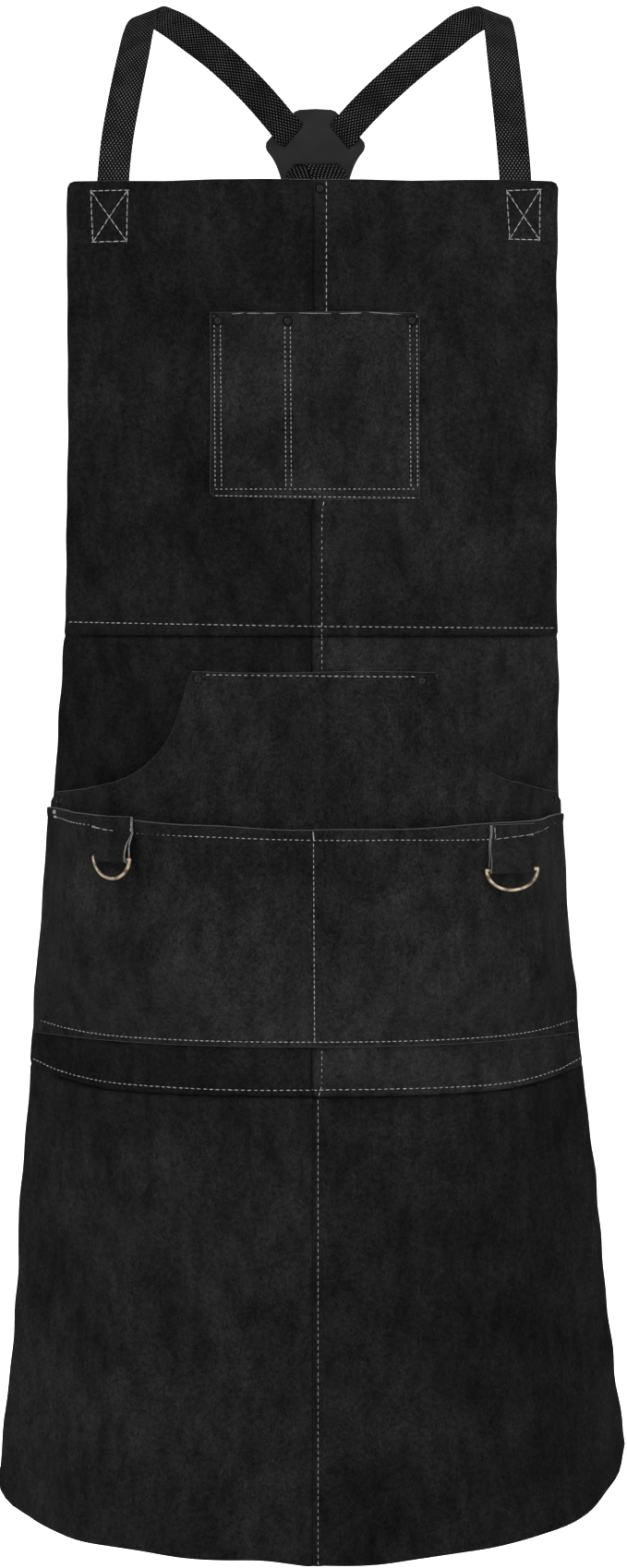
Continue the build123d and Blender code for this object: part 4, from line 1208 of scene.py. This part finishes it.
# cross-section of the webbing as (share of the half width, share of the half thickness)
BAND_TOP = [(-0.985, 0.62), (-0.94, 0.92), (-0.86, 1.0), (-0.4, 0.97), (0.0, 1.0), (0.4, 0.97), (0.86, 1.0),
            (0.94, 0.92), (0.985, 0.62)]
BAND_SECTION = [(-1.0, 0.0)] + BAND_TOP + [(1.0, 0.0)]
BAND_SECTION += [(wide, -thick) for wide, thick in reversed(BAND_TOP)]


def band_samples(stations, step=0.0022):
    """Centres and directions across, smooth through the stations of a band, and where each station's stretch
    begins.
    """
    data = []
    previous = None
    for point, line in stations:
        line = np.array(line) / np.linalg.norm(line)
        if previous is not None and np.dot(line, previous) < 0:
            line = -line
        previous = line
        data.append([*point, *(line * 0.02)])
    data = np.array(data)
    gaps = np.linalg.norm(np.diff(data[:, :3], axis=0), axis=1)
    marks = np.concatenate([[0], np.cumsum(gaps)])
    slopes = np.gradient(data, marks, axis=0)
    result = []
    firsts = []
    for i, gap in enumerate(gaps):
        firsts.append(len(result))
        count = max(2, int(round(gap / step)))
        result += [between_stations(t, gap, data, slopes, i) for t in np.arange(count) / count]
    firsts.append(len(result))
    result.append(data[-1])
    return np.array(result), firsts


def band(name, samples, first, last, walked):
    """Webbing mesh along samples first to last, with a UV map in metres along and across."""
    run = np.gradient(samples[:, :3], axis=0)
    run /= np.linalg.norm(run, axis=1)[:, None]
    line = samples[:, 3:] / np.linalg.norm(samples[:, 3:], axis=1)[:, None]
    normal = np.cross(run, line)
    size = np.linalg.norm(normal, axis=1)[:, None]
    half = line * (WEBBING_WIDTH / 2) / size
    rise = normal / size * (WEBBING / 2)
    points = []
    marks = []
    for i in range(first, last + 1):
        for wide, thick in BAND_SECTION:
            points.append(samples[i, :3] + half[i] * wide + rise[i] * thick)
            marks.append((walked[i], wide * WEBBING_WIDTH / 2 + (0.05 if thick < 0 else 0.0)))
    ring = len(BAND_SECTION)
    rows = last - first + 1
    faces = [tuple(range(ring)), tuple((rows - 1) * ring + k for k in reversed(range(ring)))]
    for r in range(rows - 1):
        for k in range(ring):
            j = (k + 1) % ring
            faces.append((r * ring + k, (r + 1) * ring + k, (r + 1) * ring + j, r * ring + j))
    piece = make_object(name, points, faces, [WEBBING_WEAVE], sharp=70)
    layer = piece.data.uv_layers.new(name="band")
    corners = np.array([loop.vertex_index for loop in piece.data.loops])
    layer.data.foreach_set("uv", np.array(marks)[corners].ravel())
    return piece


def walk_lengths(samples):
    return np.concatenate([[0], np.cumsum(np.linalg.norm(np.diff(samples[:, :3], axis=0), axis=1))])


for word in ("left", "right"):
    waist = "right" if word == "left" else "left"
    stations, lower_start, tail_start = strap_stations(word)
    samples, firsts = band_samples(stations)
    walked = walk_lengths(samples)
    shoulder_band = band(f"{word}_shoulder_webbing", samples, 0, firsts[lower_start], walked)
    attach(shoulder_band, "apron")
    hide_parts(f"{word}_shoulder_strap")
    lower_band = band(f"{waist}_waist_webbing", samples, firsts[lower_start], firsts[tail_start], walked)
    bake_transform(lower_band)
    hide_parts(f"{waist}_waist_strap")
    tail_band = band(f"{waist}_tail_webbing", samples, firsts[tail_start], len(samples) - 1, walked)
    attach(tail_band, f"{waist}_plug")
    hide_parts(f"{waist}_strap_tail")


def tab_stations(word):
    """Webbing sewn inside the edge of the leather, going back round the bar of the socket."""
    side = -1 if word == "left" else 1
    plane = buckle_frame(word)
    origin, pull, across_line, outward = plane
    stations = []
    for share, drop in ((0.86, 0.026), (0.90, 0.019), (0.94, 0.012), (0.98, 0.005)):
        height = np.array([TAB_EDGE[word][2] - drop])
        left, right, _ = body_values(height)
        place = side * share * (left if side < 0 else right)
        normal = Vector(wrap_normal(place, height)[0])
        towards_edge = Vector((-normal[1] * side, normal[0] * side, 0))
        line = normal.cross(towards_edge + Vector((0, 0, TAB_RISE)))
        point = wrap_point(place, height, np.array([-LEATHER - TAB_AIR - WEBBING / 2]))[0]
        stations.append((tuple(point), tuple(line)))
    stations.append((tuple(origin + pull * 0.006 + outward * BAR_TURN), tuple(across_line)))
    stations += turn_round_bar(plane, tuple(across_line), SOCKET_START, 1)
    stations.append((tuple(origin + pull * (SOCKET_START - 0.013) - outward * BAR_TURN), tuple(across_line)))
    return stations


for word in ("left", "right"):
    samples, firsts = band_samples(tab_stations(word))
    tab = band(f"{word}_tab_webbing", samples, 0, len(samples) - 1, walk_lengths(samples))
    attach(tab, "apron")
    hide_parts(f"{word}_waist_tab")


# ---- back yoke ----
def oval(centre, length, width, turn):
    """Outline of a slot with round ends, turned in the plane of the yoke."""
    points = []
    reach = (length - width) / 2
    for side in (1, -1):
        for angle in np.linspace(-math.pi / 2, math.pi / 2, 9):
            out, up = reach + width / 2 * math.cos(angle), width / 2 * math.sin(angle)
            points.append((side * out, side * up))
    c, s = math.cos(turn), math.sin(turn)
    return [(centre[0] + x * c - z * s, centre[1] + x * s + z * c) for x, z in points]


def yoke_outline():
    """Narrow rounded top, shoulders that flare to the slots' outer corners, then hollow flanks."""
    crown = [(0.0, -0.0655), (0.0125, -0.0661), (0.0163, -0.0674), (0.0205, -0.0715), (0.0372, -0.0895),
             (0.0398, -0.0925), (0.0405, -0.0960), (0.0394, -0.0992)]
    flank = [crown[-1], (0.0350, -0.1052), (0.0318, -0.1112), (0.0294, -0.1175), (0.0272, -0.1250),
             (0.0262, -0.1362)]
    right = crown + [tuple(p) for p in curve_through(flank, 18)[1:]] + [(0.0245, -0.1380)]
    return right + [(-x, z) for x, z in reversed(right[1:])]


def yoke_surface(x, z, depth):
    """A plate that bows a little between its slots, its inner face towards the apron."""
    bow = 0.0012 * np.cos(np.clip(x / 0.04, -1, 1) * math.pi / 2) + 0.0005 * swell(x, z, 0.05, 61)
    y = YOKE_FACE_Y + 0.0003 - bow * smooth((0.04 - np.abs(x)) / 0.03) * smooth((z + 0.105) / 0.02)
    return np.stack([x + YOKE_CENTRE_X, y + depth, z], axis=-1)


# distance from the centre line, height, length, width and turn of each slot
SLOTS = [oval((-0.0188, -0.0866), 0.0245, 0.0046, math.radians(49)),
         oval((0.0213, -0.0880), 0.0245, 0.0046, math.radians(-51)),
         oval((0.0014, -0.1132), 0.0392, 0.0054, 0.0)]
yoke = sheet("back_yoke_leather", yoke_outline(), yoke_surface, [YOKE_GRAIN, YOKE_GRAIN],
             thickness=YOKE_THICKNESS, step=0.0022, holes=SLOTS)
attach(yoke, "apron")
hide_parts("back_yoke")

# ---- materials of the solids that stay ----
KEPT = {"rivet_caps": RIVET_BLACK, "rivet_posts": RIVET_BLACK}
for word in ("left", "right"):
    KEPT[f"{word}_d_ring"] = BRASS
    KEPT[f"{word}_buckle_socket"] = BUCKLE_BLACK
    KEPT[f"{word}_buckle_plug"] = BUCKLE_BLACK
for node, material in KEPT.items():
    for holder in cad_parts[node].material_slots:
        holder.material = material


# ---- floor, backdrop and light ----
def studio():
    """A pale floor that curves up into a round backdrop."""
    floor_z, flat, bend, wall = HEM - 0.30, 12.0, 6.0, 12.0
    profile = [(0.0, floor_z), (flat, floor_z)]
    for angle in np.linspace(0.1, math.pi / 2, 12):
        profile.append((flat + bend * math.sin(angle), floor_z + bend * (1 - math.cos(angle))))
    profile.append((flat + bend, floor_z + wall))
    around = 64
    points = []
    for radius, height in profile:
        radius = max(radius, 0.01)
        for angle in 2 * math.pi * np.arange(around) / around:
            points.append((radius * math.cos(angle), radius * math.sin(angle), height))
    faces = [tuple(range(around))]
    for r in range(len(profile) - 1):
        for k in range(around):
            j = (k + 1) % around
            faces.append((r * around + k, r * around + j, (r + 1) * around + j, (r + 1) * around + k))
    look = Look("pale_backdrop")
    look.tint(grey(0.92), look.varied(1.5, 0.98, 1.0))
    look.fix({"Roughness": 0.9, "Emission Color": (1, 1, 1, 1), "Emission Strength": 0.55})
    backdrop = make_object("backdrop", points, faces, [look.material])


def soft_light(name, place, target, size, power):
    lamp = bpy.data.lights.new(name, "AREA")
    lamp.shape = "DISK"
    lamp.size = size
    lamp.energy = power
    holder = bpy.data.objects.new(name, lamp)
    holder.location = place
    holder.rotation_euler = (Vector(target) - Vector(place)).to_track_quat("-Z", "Y").to_euler()
    bpy.context.scene.collection.objects.link(holder)


studio()
MIDDLE = (0.0, 0.0, -0.65)
soft_light("key", (-1.9, -2.4, 1.2), MIDDLE, 1.8, 95)
soft_light("fill", (2.2, -2.2, 0.1), MIDDLE, 2.2, 45)
soft_light("back", (1.2, 2.8, 1.3), MIDDLE, 2.0, 80)
world = bpy.data.worlds.new("studio")
world.use_nodes = True
world.node_tree.nodes["Background"].inputs["Color"].default_value = (1, 1, 1, 1)
world.node_tree.nodes["Background"].inputs["Strength"].default_value = 0.9
bpy.context.scene.world = world
bpy.context.scene.view_settings.view_transform = "Standard"
